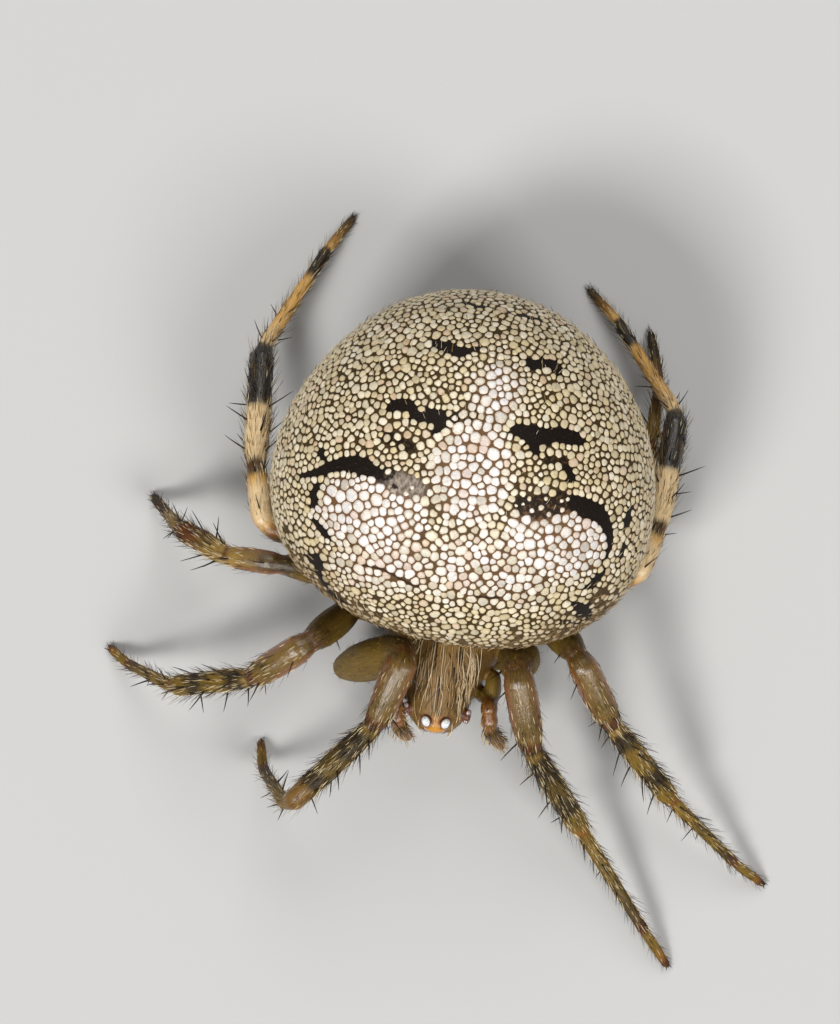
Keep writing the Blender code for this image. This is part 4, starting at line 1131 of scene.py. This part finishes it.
def add_coat(name, seed, density, length, radius, lift_deg, lift_spread, spread, droop, colour_pairs,
             dark_share, shade=None, curl=0.07):
    """A coat piece. Density, length, lift and share of dark hairs are given for each vertex of the skin."""
    dice = np.random.default_rng(seed)
    roots, here = scatter(dice, density)
    count = len(roots)
    lengths = length[here] * np.clip(dice.normal(1, 0.22, count), 0.45, 1.6)
    lifts = np.radians(np.clip(dice.normal(lift_deg[here], lift_spread, count), 2, 80))
    mixed = dice.random(count)[:, None]
    colours = np.array(colour_pairs[0]) * (1 - mixed) + np.array(colour_pairs[1]) * mixed
    if shade is not None:
        colours = colours * shade[here]
    dark = dice.random(count) < dark_share[here]
    colours[dark] = np.array(colour_pairs[2]) * dice.uniform(0.7, 1.4, dark.sum())[:, None]
    own_radius = radius[here] if np.ndim(radius) else radius
    radii = own_radius * np.clip(dice.normal(1, 0.15, count), 0.6, 1.4)
    mesh = hair_mesh(name, dice, roots, normals[here], lie[here], lengths, radii, lifts, droop, spread, colours,
                     atlas[here], curl=curl)
    return add_piece(name, mesh, hair_look)


# How the hairs lie away from the legs: fanned forward over the carapace, and backwards over the abdomen
fan = skin - np.array((PROSOMA_X, -2.0, 1.2))
lie[on_body] = unit(fan * np.array((0.55, 1.0, 0.30)))[on_body]
back = np.stack((arm_unit[:, 0] * 0.7, np.ones(len(skin)) * 0.9, np.zeros(len(skin))), 1)
rim = np.cross(arm_unit, np.array([0.0, 0.0, 1.0])) * np.sign(arm_unit[:, :1] + 1e-9)
front_rim = smoothstep(-0.55, -0.85, arm_unit[:, 1])[:, None]
lie[on_abdomen] = unit(back * (1 - front_rim) + (rim * 1.0 + np.array([0, -0.2, -0.6])) * front_rim)[on_abdomen]

leg_rows = on_tube & (tube_of < len(LEG_JOINTS))
luminance = paint @ np.array([0.3, 0.6, 0.1])
darkness = smoothstep(0.14, 0.04, luminance)
GOLD, PALE_GOLD, WHITE_GOLD = (0.44, 0.26, 0.07), (0.72, 0.52, 0.23), (0.94, 0.82, 0.56)
HAIR_BLACK, HAIR_BROWN = (0.013, 0.007, 0.004), (0.085, 0.042, 0.012)
SEGMENTS = (0, 1, 1.9, 2.0, 2.5, 2.9, 3.0, 3.95, 4.0, 4.95, 5.0, 6.0)
leg_length = np.interp(where, SEGMENTS, (.10, .08, .08, .10, .14, .17, .19, .18, .17, .16, .13, .10))
fourth_pair = np.isin(tube_of, (3, 7))
banded = fourth_pair & (where > 3.5) & (where < 4.0)
amber_end = (tube_of == 4) & (where > 3.76) & (where < 4.02)
# Hairs of the femora are golden, not white
golden = np.interp(where, (0.0, 1.88, 1.98, 6.0), (1, 1, 0, 0))[:, None] * leg_rows[:, None]
hair_shade = 1 - golden * (1 - np.array((0.50, 0.38, 0.16)))
for side, numbers, seed in (("left", (0, 1, 2, 3), 11), ("right", (4, 5, 6, 7), 12)):
    these = leg_rows & np.isin(tube_of, numbers)
    lying = these * np.interp(where, SEGMENTS, (30, 44, 44, 16, 40, 120, 128, 112, 96, 92, 80, 70))
    lying = lying * (1 - 0.55 * banded) * (1 - 0.85 * amber_end)
    lift_deg = np.interp(where, SEGMENTS, (14, 14, 12, 7, 7, 9, 10, 10, 12, 14, 16, 18))
    add_coat(f"coat_{side}_legs_lying", seed, lying, leg_length * 0.92, 0.0072 - 0.0022 * golden[:, 0],
             lift_deg, 3, 0.07, 0.04, (PALE_GOLD, WHITE_GOLD, HAIR_BLACK), 0.22 + 0.30 * darkness + 0.3 * banded,
             hair_shade, 0.035)
    standing = these * np.interp(where, SEGMENTS, (8, 18, 20, 8, 16, 56, 84, 92, 96, 96, 88, 72))
    lift_deg = np.interp(where, SEGMENTS, (32, 34, 32, 28, 28, 30, 31, 33, 34, 34, 36, 38))
    add_coat(f"coat_{side}_legs_standing", seed + 2, standing * (1 - 0.7 * amber_end), leg_length * 1.75,
             0.0042, lift_deg, 6, 0.13, 0.10, (GOLD, HAIR_BROWN, HAIR_BLACK),
             np.where(fourth_pair, 0.30, 0.50) + 0.30 * darkness, hair_shade, 0.05)

palp_rows = on_tube & np.isin(tube_of, (8, 9))
mouth_rows = on_tube & np.isin(tube_of, (10, 11))
head_rows = on_body & (skin[:, 2] > 1.40) & ~is_lump
under_rows = on_body & (skin[:, 2] <= 1.40)
everywhere = np.ones(len(skin))
palp_density = np.interp(where, (0, 1.9, 2.0, 2.9, 3.2, 4.0), (20, 30, 18, 50, 120, 120))
mouth_density = palp_rows * palp_density + mouth_rows * 40.0
palp_length = np.interp(where, (0, 2.9, 3.2, 4.0), (0.12, 0.18, 0.22, 0.17))
add_coat("coat_mouthparts", 15, mouth_density, np.where(palp_rows, palp_length, 0.16), 0.0078,
         np.where(palp_rows, 34.0, 25.0), 9, 0.30, 0.10, (GOLD, PALE_GOLD, HAIR_BLACK), everywhere * 0.25)
clear_of_eyes = np.ones(len(skin))
for _, _, centre, radius in eye_places():
    clear_of_eyes *= smoothstep(radius + 0.01, radius + 0.07, np.linalg.norm(skin - centre, axis=1))
head_front = smoothstep(-3.2, -4.0, skin[:, 1])
add_coat("coat_head", 16, head_rows * clear_of_eyes * (14 + 26 * head_front), everywhere * 0.17, 0.0060,
         everywhere * 9.0, 4, 0.20, 0.02, (GOLD, HAIR_BROWN, HAIR_BLACK), everywhere * 0.35)
add_coat("coat_sternum", 17, under_rows * 45.0, everywhere * 0.16, 0.0065,
         everywhere * 25.0, 8, 0.3, 0.1, (GOLD, HAIR_BROWN, HAIR_BLACK), everywhere * 0.4)
steep = smoothstep(0.62, 0.20, arm_unit[:, 2])
rear = smoothstep(0.10, 0.75, arm_unit[:, 1])
around_rim = np.maximum(steep, rear * 0.75)
add_coat("coat_abdomen", 18, on_abdomen * (1.5 + 26.0 * around_rim + 34.0 * rim_share),
         0.13 + 0.06 * around_rim, 0.0058, 16 + 10 * around_rim - 8 * rim_share, 6, 0.30, 0.12,
         (GOLD, WHITE_GOLD, HAIR_BLACK), 0.08 + 0.42 * rim_share,
         1 - rim_share[:, None] * (1 - np.array((0.46, 0.36, 0.20))))


# The curved hair beside a large eye: its root, the point that it bends toward, and its tip
EYE_HAIR = ((0.30, -4.62, 1.97), (0.35, -4.84, 2.02), (0.22, -4.93, 1.86))


def add_strands():
    """The head's long strands: each follows the carapace forward and lifts a little at its end."""
    dice = np.random.default_rng(19)
    rows = np.flatnonzero(head_rows | (on_body & is_lump & (skin[:, 1] < -4.3)))
    tree = tree_of(skin[rows])
    eyes = np.array([(*centre, radius) for _, _, centre, radius in eye_places()])
    spines, overs, besides, places = [], [], [], []

    def keep(path, up, place):
        heading = unit(path[-1] - path[0])
        beside = unit(np.cross(up, heading))
        spines.append(path)
        overs.append(np.cross(heading, beside))
        besides.append(beside)
        places.append(place)
    for _ in range(STRANDS):
        x = PROSOMA_X + 0.85 * (1 - 2 * dice.random() ** 1.25)
        y = dice.uniform(-4.35, -3.05)
        place = np.array((x, y, 2.4))
        length = dice.uniform(0.42, 0.95)
        wave = dice.normal(0, 0.16)
        bow = dice.normal(0, 0.45)
        path = []
        for step in range(STRAND_STATIONS):
            share = step / (STRAND_STATIONS - 1)
            _, number, gap = tree.find(place)
            foot = skin[rows[number]]
            up = normals[rows[number]]
            if step == 0:
                first_up, root = up, rows[number]
                place = foot
            lifted = foot + up * (0.016 + 0.05 * share ** 2)
            path.append(0.35 * lifted + 0.65 * place if step else foot - up * 0.02)
            fan = np.array(((place[0] - PROSOMA_X) * 0.42 + wave + bow * (share - 0.5), -1.0, 0.0))
            heading = unit(fan - up * (fan @ up))
            place = lifted + heading * length / (STRAND_STATIONS - 1)
        path = np.array(path)
        covers = np.linalg.norm(path[:, None, :2] - eyes[None, :, :2], axis=2) < eyes[None, :, 3] + 0.035
        if covers.any() or path[-1, 1] < -4.93:
            continue
        keep(path, first_up, atlas[root])
    # One curved pale hair beside each of the large eyes
    for side in (1, -1):
        shares = np.linspace(0, 1, STRAND_STATIONS)[:, None]
        start, middle, end = (np.array((PROSOMA_X + side * x, y, z)) for x, y, z in EYE_HAIR)
        path = (1 - shares) ** 2 * start + 2 * shares * (1 - shares) * middle + shares ** 2 * end
        keep(path, np.array([0.0, 0.0, 1.0]), places[-1])
    count = len(spines)
    mixed = dice.random((count, 1))
    mixed[-2:] = 1
    colours = np.array(STRAND_BROWN) * (1 - mixed) + np.array(STRAND_PALE) * mixed
    dark = dice.random(count) < DARK_STRANDS
    dark[-2:] = False
    colours[dark] = STRAND_BLACK
    radii = np.clip(dice.normal(STRAND_RADIUS, STRAND_RADIUS_SPREAD, count), 0.005, 0.011)
    taper = np.linspace(1.0, 0.45, STRAND_STATIONS - 1)
    mesh = hair_solids("strands", np.array(spines), np.array(overs), np.array(besides), radii, taper, colours,
                       np.array(places), 4)
    return add_piece("coat_head_strands", mesh, hair_look)


add_strands()

# Spines and claws
# Fraction of the segment's length, degrees round the leg from its upper side, and length
SPINES = {
    1: ((0.42, 30, 0.26), (0.62, -42, 0.30), (0.84, 28, 0.32)),
    2: ((0.30, 6, 0.40), (0.88, -8, 0.44), (0.90, 60, 0.30), (0.88, -62, 0.28)),
    3: ((0.10, 64, 0.46), (0.12, -70, 0.52), (0.18, -112, 0.40), (0.26, 20, 0.50), (0.30, 98, 0.42), (0.36, -60, 0.50),
        (0.48, 66, 0.52), (0.50, -100, 0.44), (0.58, -14, 0.48), (0.66, 110, 0.42), (0.70, -66, 0.48),
        (0.82, 30, 0.42)),
    4: ((0.08, 58, 0.36), (0.10, -62, 0.36), (0.14, 110, 0.34), (0.32, -104, 0.38), (0.38, 34, 0.38), (0.50, 86, 0.36),
        (0.56, -76, 0.36)),
}
# How many of them each pair of legs has on its femur, patella, tibia and metatarsus
SPINE_SHARE = {"1": (3, 4, 12, 7), "2": (3, 4, 12, 7), "3": (1, 2, 7, 4), "4": (2, 3, 9, 5)}
SPINE_LEAN_DEG, SPINE_RADIUS, SPINE_BLACK = 58, 0.0150, (0.016, 0.009, 0.005)
CLAW_BROWN = (0.030, 0.014, 0.008)
SPINE_RINGS = np.array((0.0, 0.15, 0.40, 0.66, 0.86))
SPINE_TAPER = np.array((1.0, 0.95, 0.80, 0.56, 0.34))


def add_spines():
    dice = np.random.default_rng(21)
    gathered = [[] for _ in range(4)]
    for number, name in enumerate(LEG_JOINTS):
        tube = tubes[number]
        for segment, count in zip((1, 2, 3, 4), SPINE_SHARE[name[1]]):
            for fraction, turn_deg, length in SPINES[segment][:count]:
                station = np.argmin(np.abs(tube.where - segment - fraction - dice.uniform(-0.02, 0.02)))
                turn = math.radians(turn_deg + dice.uniform(-9, 9))
                up = tube.ups[station] * math.cos(turn) + tube.sides[station] * math.sin(turn)
                root = tube.points[station] + up * tube.radii[station]
                length = length * dice.uniform(0.92, 1.28)
                tip = root + unit(up + tube.directions[station]) * length
                arm = tip - ABDOMEN_CENTRE
                if tip[2] < 0.04 or np.linalg.norm(arm) < abdomen_reach(unit(arm)[None])[0] + 0.02:
                    continue
                for store, value in zip(gathered, (root, up, tube.directions[station], length)):
                    store.append(value)
    roots, ups, lies, lengths = (np.array(store) for store in gathered)
    near = np.array([np.argmin(((skin[leg_rows] - root) ** 2).sum(1)) for root in roots])
    lifts = np.radians(dice.normal(SPINE_LEAN_DEG, 9, len(roots)))
    radii = SPINE_RADIUS * np.clip(lengths / 0.42, 0.8, 1.2)
    mesh = hair_mesh("spines", dice, roots, ups, lies, lengths, radii, lifts, 0.10, 0.06,
                     np.tile(np.array(SPINE_BLACK), (len(roots), 1)), atlas[leg_rows][near],
                     SPINE_RINGS, SPINE_TAPER, 6)
    return add_piece("leg_spines", mesh, bristle_look)


def add_claws():
    """Three small hooks at each foot, two long and one short."""
    roots, ups, lies, places = [], [], [], []
    for number in range(len(LEG_JOINTS)):
        tube = tubes[number]
        tip = skin[tube_of == number]
        heading = unit(tube.directions[-1] * np.array((1, 1, 0)))
        end = tip[np.argmax(tip @ heading)]
        beside = np.array((-heading[1], heading[0], 0))
        row = np.flatnonzero(tube_of == number)[np.argmax(tip @ heading)]
        for across in (-0.5, 0.5, 0.0):
            roots.append(end - heading * 0.04 + beside * across * 0.05 + np.array((0, 0, 0.02)))
            ups.append((0, 0, 1.0))
            lies.append(unit(heading + beside * across * 0.7))
            places.append(atlas[row])
    lengths = np.tile((0.13, 0.13, 0.08), len(LEG_JOINTS))
    dice = np.random.default_rng(22)
    count = len(roots)
    mesh = hair_mesh("claws", dice, np.array(roots), np.array(ups), np.array(lies), lengths, np.full(count, 0.016),
                     np.full(count, 0.30), 0.42, 0.0, np.tile(np.array(CLAW_BROWN), (count, 1)),
                     np.array(places), SPINE_RINGS, SPINE_TAPER, 6)
    return add_piece("claws", mesh, bristle_look)


add_spines()
add_claws()


# The mosaic: one low dome for each pale cell of the abdomen, rooted in the skin
CELL_TRIES, CELL_ROUNDS = 60000, 16
SLOPE_STEP = 0.004
# How sharp a cell's corners are, and the share of pairs that grow together
CORNER_POWER, JOINED_PAIRS = 26, 0.19
DULL_CELL, DULLER_CELL, BROWN_CELL = (0.62, 0.38, 0.25), (0.40, 0.34, 0.20), (0.30, 0.19, 0.09)
RIM_CELL = (0.24, 0.155, 0.055)
EDGE_TINT, EDGE_TINT_WHITE = (0.46, 0.32, 0.12), (0.62, 0.42, 0.26)


def spread_cells(dice):
    """Evenly spread places on the abdomen, closer together outside its pale fields."""
    points = globe_points(unit(dice.normal(0, 1, (CELL_TRIES, 3))))
    points = points[points[:, 2] > MOSAIC_LOW]
    pitches = CELL_PITCH + (CELL_PITCH_PALE - CELL_PITCH) * smoothstep(0.1, 0.8, pale_and_highlight_at(points))
    pitches *= np.clip(np.exp(dice.normal(0, 0.20, len(points))), 0.70, 1.50)
    grid, kept = {}, []
    boxes = (points // (1.5 * CELL_PITCH_PALE)).astype(int)
    near = [(a, b, c) for a in (-1, 0, 1) for b in (-1, 0, 1) for c in (-1, 0, 1)]
    for number, (point, pitch, (i, j, k)) in enumerate(zip(points, pitches * 0.80, boxes.tolist())):
        others = [other for a, b, c in near for other in grid.get((i + a, j + b, k + c), ())]
        if others and (((points[others] - point) ** 2).sum(1) < (0.40 * pitches[others] + pitch / 2) ** 2).any():
            continue
        grid.setdefault((i, j, k), []).append(number)
        kept.append(number)
    points, pitches = points[kept], pitches[kept]
    walls = BLACK_MARKS + FAINT_MARKS
    for _ in range(CELL_ROUNDS):
        offsets, found = neighbours(points, 7)
        gaps = np.linalg.norm(offsets, axis=2)
        wanted = (pitches[:, None] + pitches[found]) / 2 * 1.02
        push = np.maximum(wanted - gaps, 0)[:, :, None] * offsets / gaps[:, :, None]
        moved = points - 0.30 * push.sum(1)
        # Cells beside a mark line up along it
        gap = capsule_distance(moved, walls)
        close = np.flatnonzero((gap < CELL_MARGIN) & (gap > -0.04))
        nudged = [capsule_distance(moved[close] + SLOPE_STEP * axis, walls) for axis in np.eye(3)]
        slope = np.stack([there - gap[close] for there in nudged], 1) / SLOPE_STEP
        moved[close] += 0.7 * (CELL_MARGIN - gap[close])[:, None] * slope
        points = globe_points(unit(moved - ABDOMEN_CENTRE))
    return points, pitches


def neighbours(points, count):
    """Offsets to each point's nearest others, and their numbers."""
    tree = tree_of(points)
    found = np.array([[number for _, number, _ in tree.find_n(point, count + 1)][1:] for point in points])
    return points[found] - points[:, None], found


def add_mosaic():
    dice = np.random.default_rng(31)
    points, pitches = spread_cells(dice)
    marks = {"black": BLACK_MARKS, "mottled": MOTTLED_MARKS, "faint": FAINT_MARKS, "grey": GREY_MARKS}
    away = {name: capsule_distance(points, chains) for name, chains in marks.items()}
    low = smoothstep(MOSAIC_FADE, MOSAIC_LOW, points[:, 2])
    chance = dice.random(len(points))
    rim_here = front_rim_at(points)
    heavy = capsule_distance(points, MOTTLED_MARKS[:1])
    stays = (away["black"] > 0.020) & (away["faint"] > 0.0) & (chance > low)
    stays &= (away["mottled"] > 0.0) | (chance > np.where(heavy < 0, 0.62, 0.28))
    stays &= (away["grey"] > -0.04) | (chance > 0.90)
    stays &= chance > 0.45 * rim_here
    stays &= capsule_distance(points, PIT_MARKS) > 0.06
    offsets, others = neighbours(points, 13)
    ups = unit(points - ABDOMEN_CENTRE)
    across = unit(np.cross(np.array([0.0, 1.0, 0.0]), ups))
    along = np.cross(ups, across)
    x = (offsets * across[:, None]).sum(2)
    y = (offsets * along[:, None]).sum(2)
    gap = np.hypot(x, y)
    # Paleness of each cell's place, which includes the painted highlight
    pale_and_highlight_here = smoothstep(0.1, 0.8, pale_and_highlight_at(points))
    net_width = CELL_GAP + (CELL_GAP_PALE - CELL_GAP) * pale_and_highlight_here
    # Both cells of a pair draw the same number, so that the gap between them is one width
    luck = dice.random(len(points))
    pair = (luck[:, None] + luck[others]) % 1.0
    inset = net_width[:, None] * (0.55 + 1.30 * pair ** 2)
    inset = np.where(pair < JOINED_PAIRS, -0.010, inset)
    own_share = 0.5 + 0.7 * (pitches[:, None] / (pitches[:, None] + pitches[others]) - 0.5)
    half = np.maximum(gap * own_share - inset, 0.018)
    turns = 2 * math.pi * np.arange(CELL_SIDES) / CELL_SIDES + dice.random(len(points))[:, None]
    bearings = np.arctan2(y, x)
    facing = np.maximum(np.cos(turns[:, :, None] - bearings[:, None]), 0) / half[:, None]
    radii = (facing ** CORNER_POWER).sum(2) ** (-1 / CORNER_POWER)
    # Corners are rounded off, which leaves the net wider there
    radii = np.minimum(radii, dice.uniform(1.08, 1.24, (len(points), 1)) * np.median(radii, 1)[:, None])
    radii *= np.clip(dice.normal(1.0, 0.035, radii.shape), 0.90, 1.06)
    radii *= np.where((heavy < 0) | (away["grey"] < -0.04), 0.55, np.where(away["mottled"] < 0, 0.80, 1.0))[:, None]
    radii *= ((1 - 0.30 * low) * (1 - 0.30 * rim_here))[:, None]
    chosen = np.flatnonzero(stays)
    points, ups, across, along, radii, turns = (
        values[chosen] for values in (points, ups, across, along, radii, turns))
    rays = np.cos(turns)[:, :, None] * across[:, None] + np.sin(turns)[:, :, None] * along[:, None]
    # A cell beside a mark ends at the mark's edge
    for name in ("black", "faint"):
        here = away[name][chosen]
        edge = np.flatnonzero(here < 0.25)
        rims = points[edge, None] + rays[edge] * radii[edge, :, None]
        there = capsule_distance(rims.reshape(-1, 3), marks[name]).reshape(len(edge), CELL_SIDES)
        cut = here[edge, None] / np.maximum(here[edge, None] - there, 1e-6)
        radii[edge] *= np.where(there < 0, np.clip(cut, 0.30, 1), 1)
    for _ in range(2):
        beside = (np.roll(radii, 1, 1) + np.roll(radii, -1, 1)) / 2
        radii = np.minimum(radii, 1.06 * beside)
    rings = []
    for share, height in ((1.02, -CELL_ROOT), (0.90, 0.66 * CELL_DOME), (0.56, 0.96 * CELL_DOME)):
        flat = points[:, None] + rays * (radii * share)[:, :, None]
        arms = unit(flat - ABDOMEN_CENTRE)
        reach = abdomen_reach(arms.reshape(-1, 3)).reshape(arms.shape[:2]) - COAT_DEPTH + height
        rings.append(ABDOMEN_CENTRE + arms * reach[:, :, None])
    tops = points + ups * CELL_DOME
    cells = len(points)
    shape = np.concatenate([*rings, tops[:, None]], 1)
    per_cell = 3 * CELL_SIDES + 1
    faces = [(0, side + 1, side) for side in range(1, CELL_SIDES - 1)]
    for side in range(CELL_SIDES):
        after = (side + 1) % CELL_SIDES
        for low_ring in (0, CELL_SIDES):
            high_ring = low_ring + CELL_SIDES
            faces.append((low_ring + side, low_ring + after, high_ring + after))
            faces.append((low_ring + side, high_ring + after, high_ring + side))
        faces.append((2 * CELL_SIDES + side, 2 * CELL_SIDES + after, 3 * CELL_SIDES))
    # Each cell's colour, whiter in the pale fields, where a painted highlight adds to its own white, and yellow at its
    # rim outside them
    draw = dice.random((cells, 4))
    white = pale_and_highlight_here[chosen] + 0.50 * (draw[:, 0] - 0.5)
    gold = mixed_colours(draw[:, 1], (0.72, 0.60, 0.34), (0.90, 0.82, 0.62))
    cream = mixed_colours(draw[:, 1], (0.78, 0.69, 0.52), (0.92, 0.88, 0.78))
    snow = mixed_colours(draw[:, 1], (0.86, 0.81, 0.75), (0.95, 0.94, 0.93))
    fill = toward(gold, cream, smoothstep(0.05, 0.45, white))
    fill = toward(fill, snow, smoothstep(0.50, 1.00, white))
    fill = toward(fill, DULL_CELL, (draw[:, 2] > 0.92) * 0.45)
    fill = toward(fill, DULLER_CELL, (draw[:, 2] < 0.14) * 0.40)
    fill = toward(fill, BROWN_CELL, smoothstep(MOSAIC_FADE + 0.6, MOSAIC_LOW + 0.4, points[:, 2]) * 0.75)
    fill += (np.array(RIM_CELL) - fill) * 0.90 * rim_here[chosen, None]
    edge_tint = mixed_colours(smoothstep(0.2, 0.8, white), EDGE_TINT, EDGE_TINT_WHITE)
    stain = np.clip(dice.normal(0.94, 0.12, (cells, CELL_SIDES, 1)), 0.60, 1.08)
    # Some cells are duller in the middle than round it
    middle = np.where(draw[:, 3] > 0.60, 0.80, 1.0)[:, None]
    shades = np.concatenate([
        np.repeat((fill * edge_tint)[:, None], CELL_SIDES, 1),
        fill[:, None] * stain * (0.35 * edge_tint + 0.65)[:, None],
        fill[:, None] * stain ** 0.5 * middle[:, None] ** 0.5, (fill * middle)[:, None]], 1)
    shades = np.concatenate([np.clip(shades, 0, 0.95), np.ones((cells, per_cell, 1))], 2)
    look = cell_material()
    at_left = points[:, 0] >= ABDOMEN_CENTRE[0]
    for side, these in (("left", at_left), ("right", ~at_left)):
        own = shape[these]
        all_faces = repeated(faces, per_cell, len(own))
        mesh = triangle_mesh("mosaic_" + side, own.reshape(-1, 3), all_faces)
        set_attribute(mesh, "paint", shades[these].reshape(-1, 4))
        add_bake_map(mesh, disc_place(unit(own.reshape(-1, 3) - ABDOMEN_CENTRE), 0.5, 0.49), all_faces)
        add_piece("abdomen_mosaic_" + side, mesh, look)


def mixed_colours(shares, first, second):
    return np.array(first) + shares[:, None] * (np.array(second) - np.array(first))


add_mosaic()

CAD_FLESH = [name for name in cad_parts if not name.startswith("eye_")]
skin_piece = add_piece("skin", skin_mesh, globe_material())
skin_mesh.materials.append(limb_material())
face_starts = np.empty(len(skin_mesh.polygons), np.int32)
skin_mesh.polygons.foreach_get("loop_start", face_starts)
loop_vertices = np.empty(len(skin_mesh.loops), np.int32)
skin_mesh.loops.foreach_get("vertex_index", loop_vertices)
skin_mesh.polygons.foreach_set("material_index", (~on_abdomen[loop_vertices[face_starts]]).astype(np.int32))
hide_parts(*CAD_FLESH)

eye_look = eye_material()
# Each lens stands a little outside its solid eye, and the large pair most
LENS_GROWTH, LARGE_LENS_GROWTH = 1.06, 1.20
# The painted reflection, a pale oval in a lens: its lean, its shift, its half width and half length, and its strength
# in a small eye
GLINT_LEAN, GLINT_SHIFT, GLINT_WIDTH, GLINT_LENGTH, FAINT_GLINT = -0.55, 0.04, 0.69, 0.95, 0.35
for eye, side, centre, radius in eye_places():
    label = "L" if side == 1 else "R"
    large = eye == "rear_median"
    shell, shell_faces = unit_sphere(44, 30)
    mesh = plain_mesh("lens", shell * radius * (LARGE_LENS_GROWTH if large else LENS_GROWTH) + centre, shell_faces)
    # The painted reflection, a pale oval, leans outwards to the rear
    across = unit(np.array((1.0, side * GLINT_LEAN, 0.0)))
    along = np.array((-across[1], across[0], 0.0))
    spread = np.hypot((shell @ across - side * GLINT_SHIFT) / GLINT_WIDTH, (shell @ along) / GLINT_LENGTH)
    # Where the painted reflection lies on the lens, weaker in the small eyes
    glint = smoothstep(1.0, 0.84, spread) * (shell[:, 2] > 0) * (1.0 if large else FAINT_GLINT)
    set_attribute(mesh, "glint", glint)
    set_attribute(mesh, "sight", shell)
    piece = add_piece(f"eye_lens_{eye}_{label}", mesh, eye_look)
    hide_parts(f"eye_{eye}_{label}")

# Floor, light and camera
floor_mesh = plain_mesh("floor", [(-3, -3, 0), (3, -3, 0), (3, 3, 0), (-3, 3, 0)], [(0, 1, 2, 3)])
floor_mesh.materials.append(floor_material())
floor = show("floor", floor_mesh)

world = bpy.data.worlds.new("studio")
world.use_nodes = True
background = world.node_tree.nodes["Background"].inputs
background["Color"].default_value = (0.93, 0.95, 1.0, 1.0)
background["Strength"].default_value = 0.15
bpy.context.scene.world = world


def add_softbox(name, place, size, power):
    """A square lamp that faces the spider. Place is in metres."""
    lamp = bpy.data.lights.new(name, "AREA")
    lamp.shape = "SQUARE"
    lamp.size = size
    lamp.energy = power
    obj = show(name, lamp)
    obj.location = place
    obj.rotation_euler = (-Vector(place)).to_track_quat("-Z", "Y").to_euler()


add_softbox("key", (-0.15, -0.22, 0.34), 0.12, 1.35)
add_softbox("second", (0.20, -0.16, 0.32), 0.14, 0.75)
add_softbox("rear", (-0.02, 0.26, 0.28), 0.22, 0.55)

# In design millimetres. With this lens, a millimetre at the abdomen's middle is about 55 pixels, as in the photo
CAMERA_SPOT = np.array((-0.689, -0.857, 200.0))
CAMERA_LENS = 379.18
CAMERA_TURN_DEG = 7.2
camera_data = bpy.data.cameras.new("camera")
camera_data.sensor_width = 36
camera_data.lens = CAMERA_LENS
camera_data.clip_start = 0.01
camera_data.clip_end = 10
camera = show("camera", camera_data)
camera.location = (CAMERA_SPOT + SHIFT) * MM
camera.rotation_euler = (0, 0, math.radians(CAMERA_TURN_DEG))
bpy.context.scene.camera = camera
bpy.context.scene.view_settings.view_transform = "Standard"

bpy.context.view_layer.update()
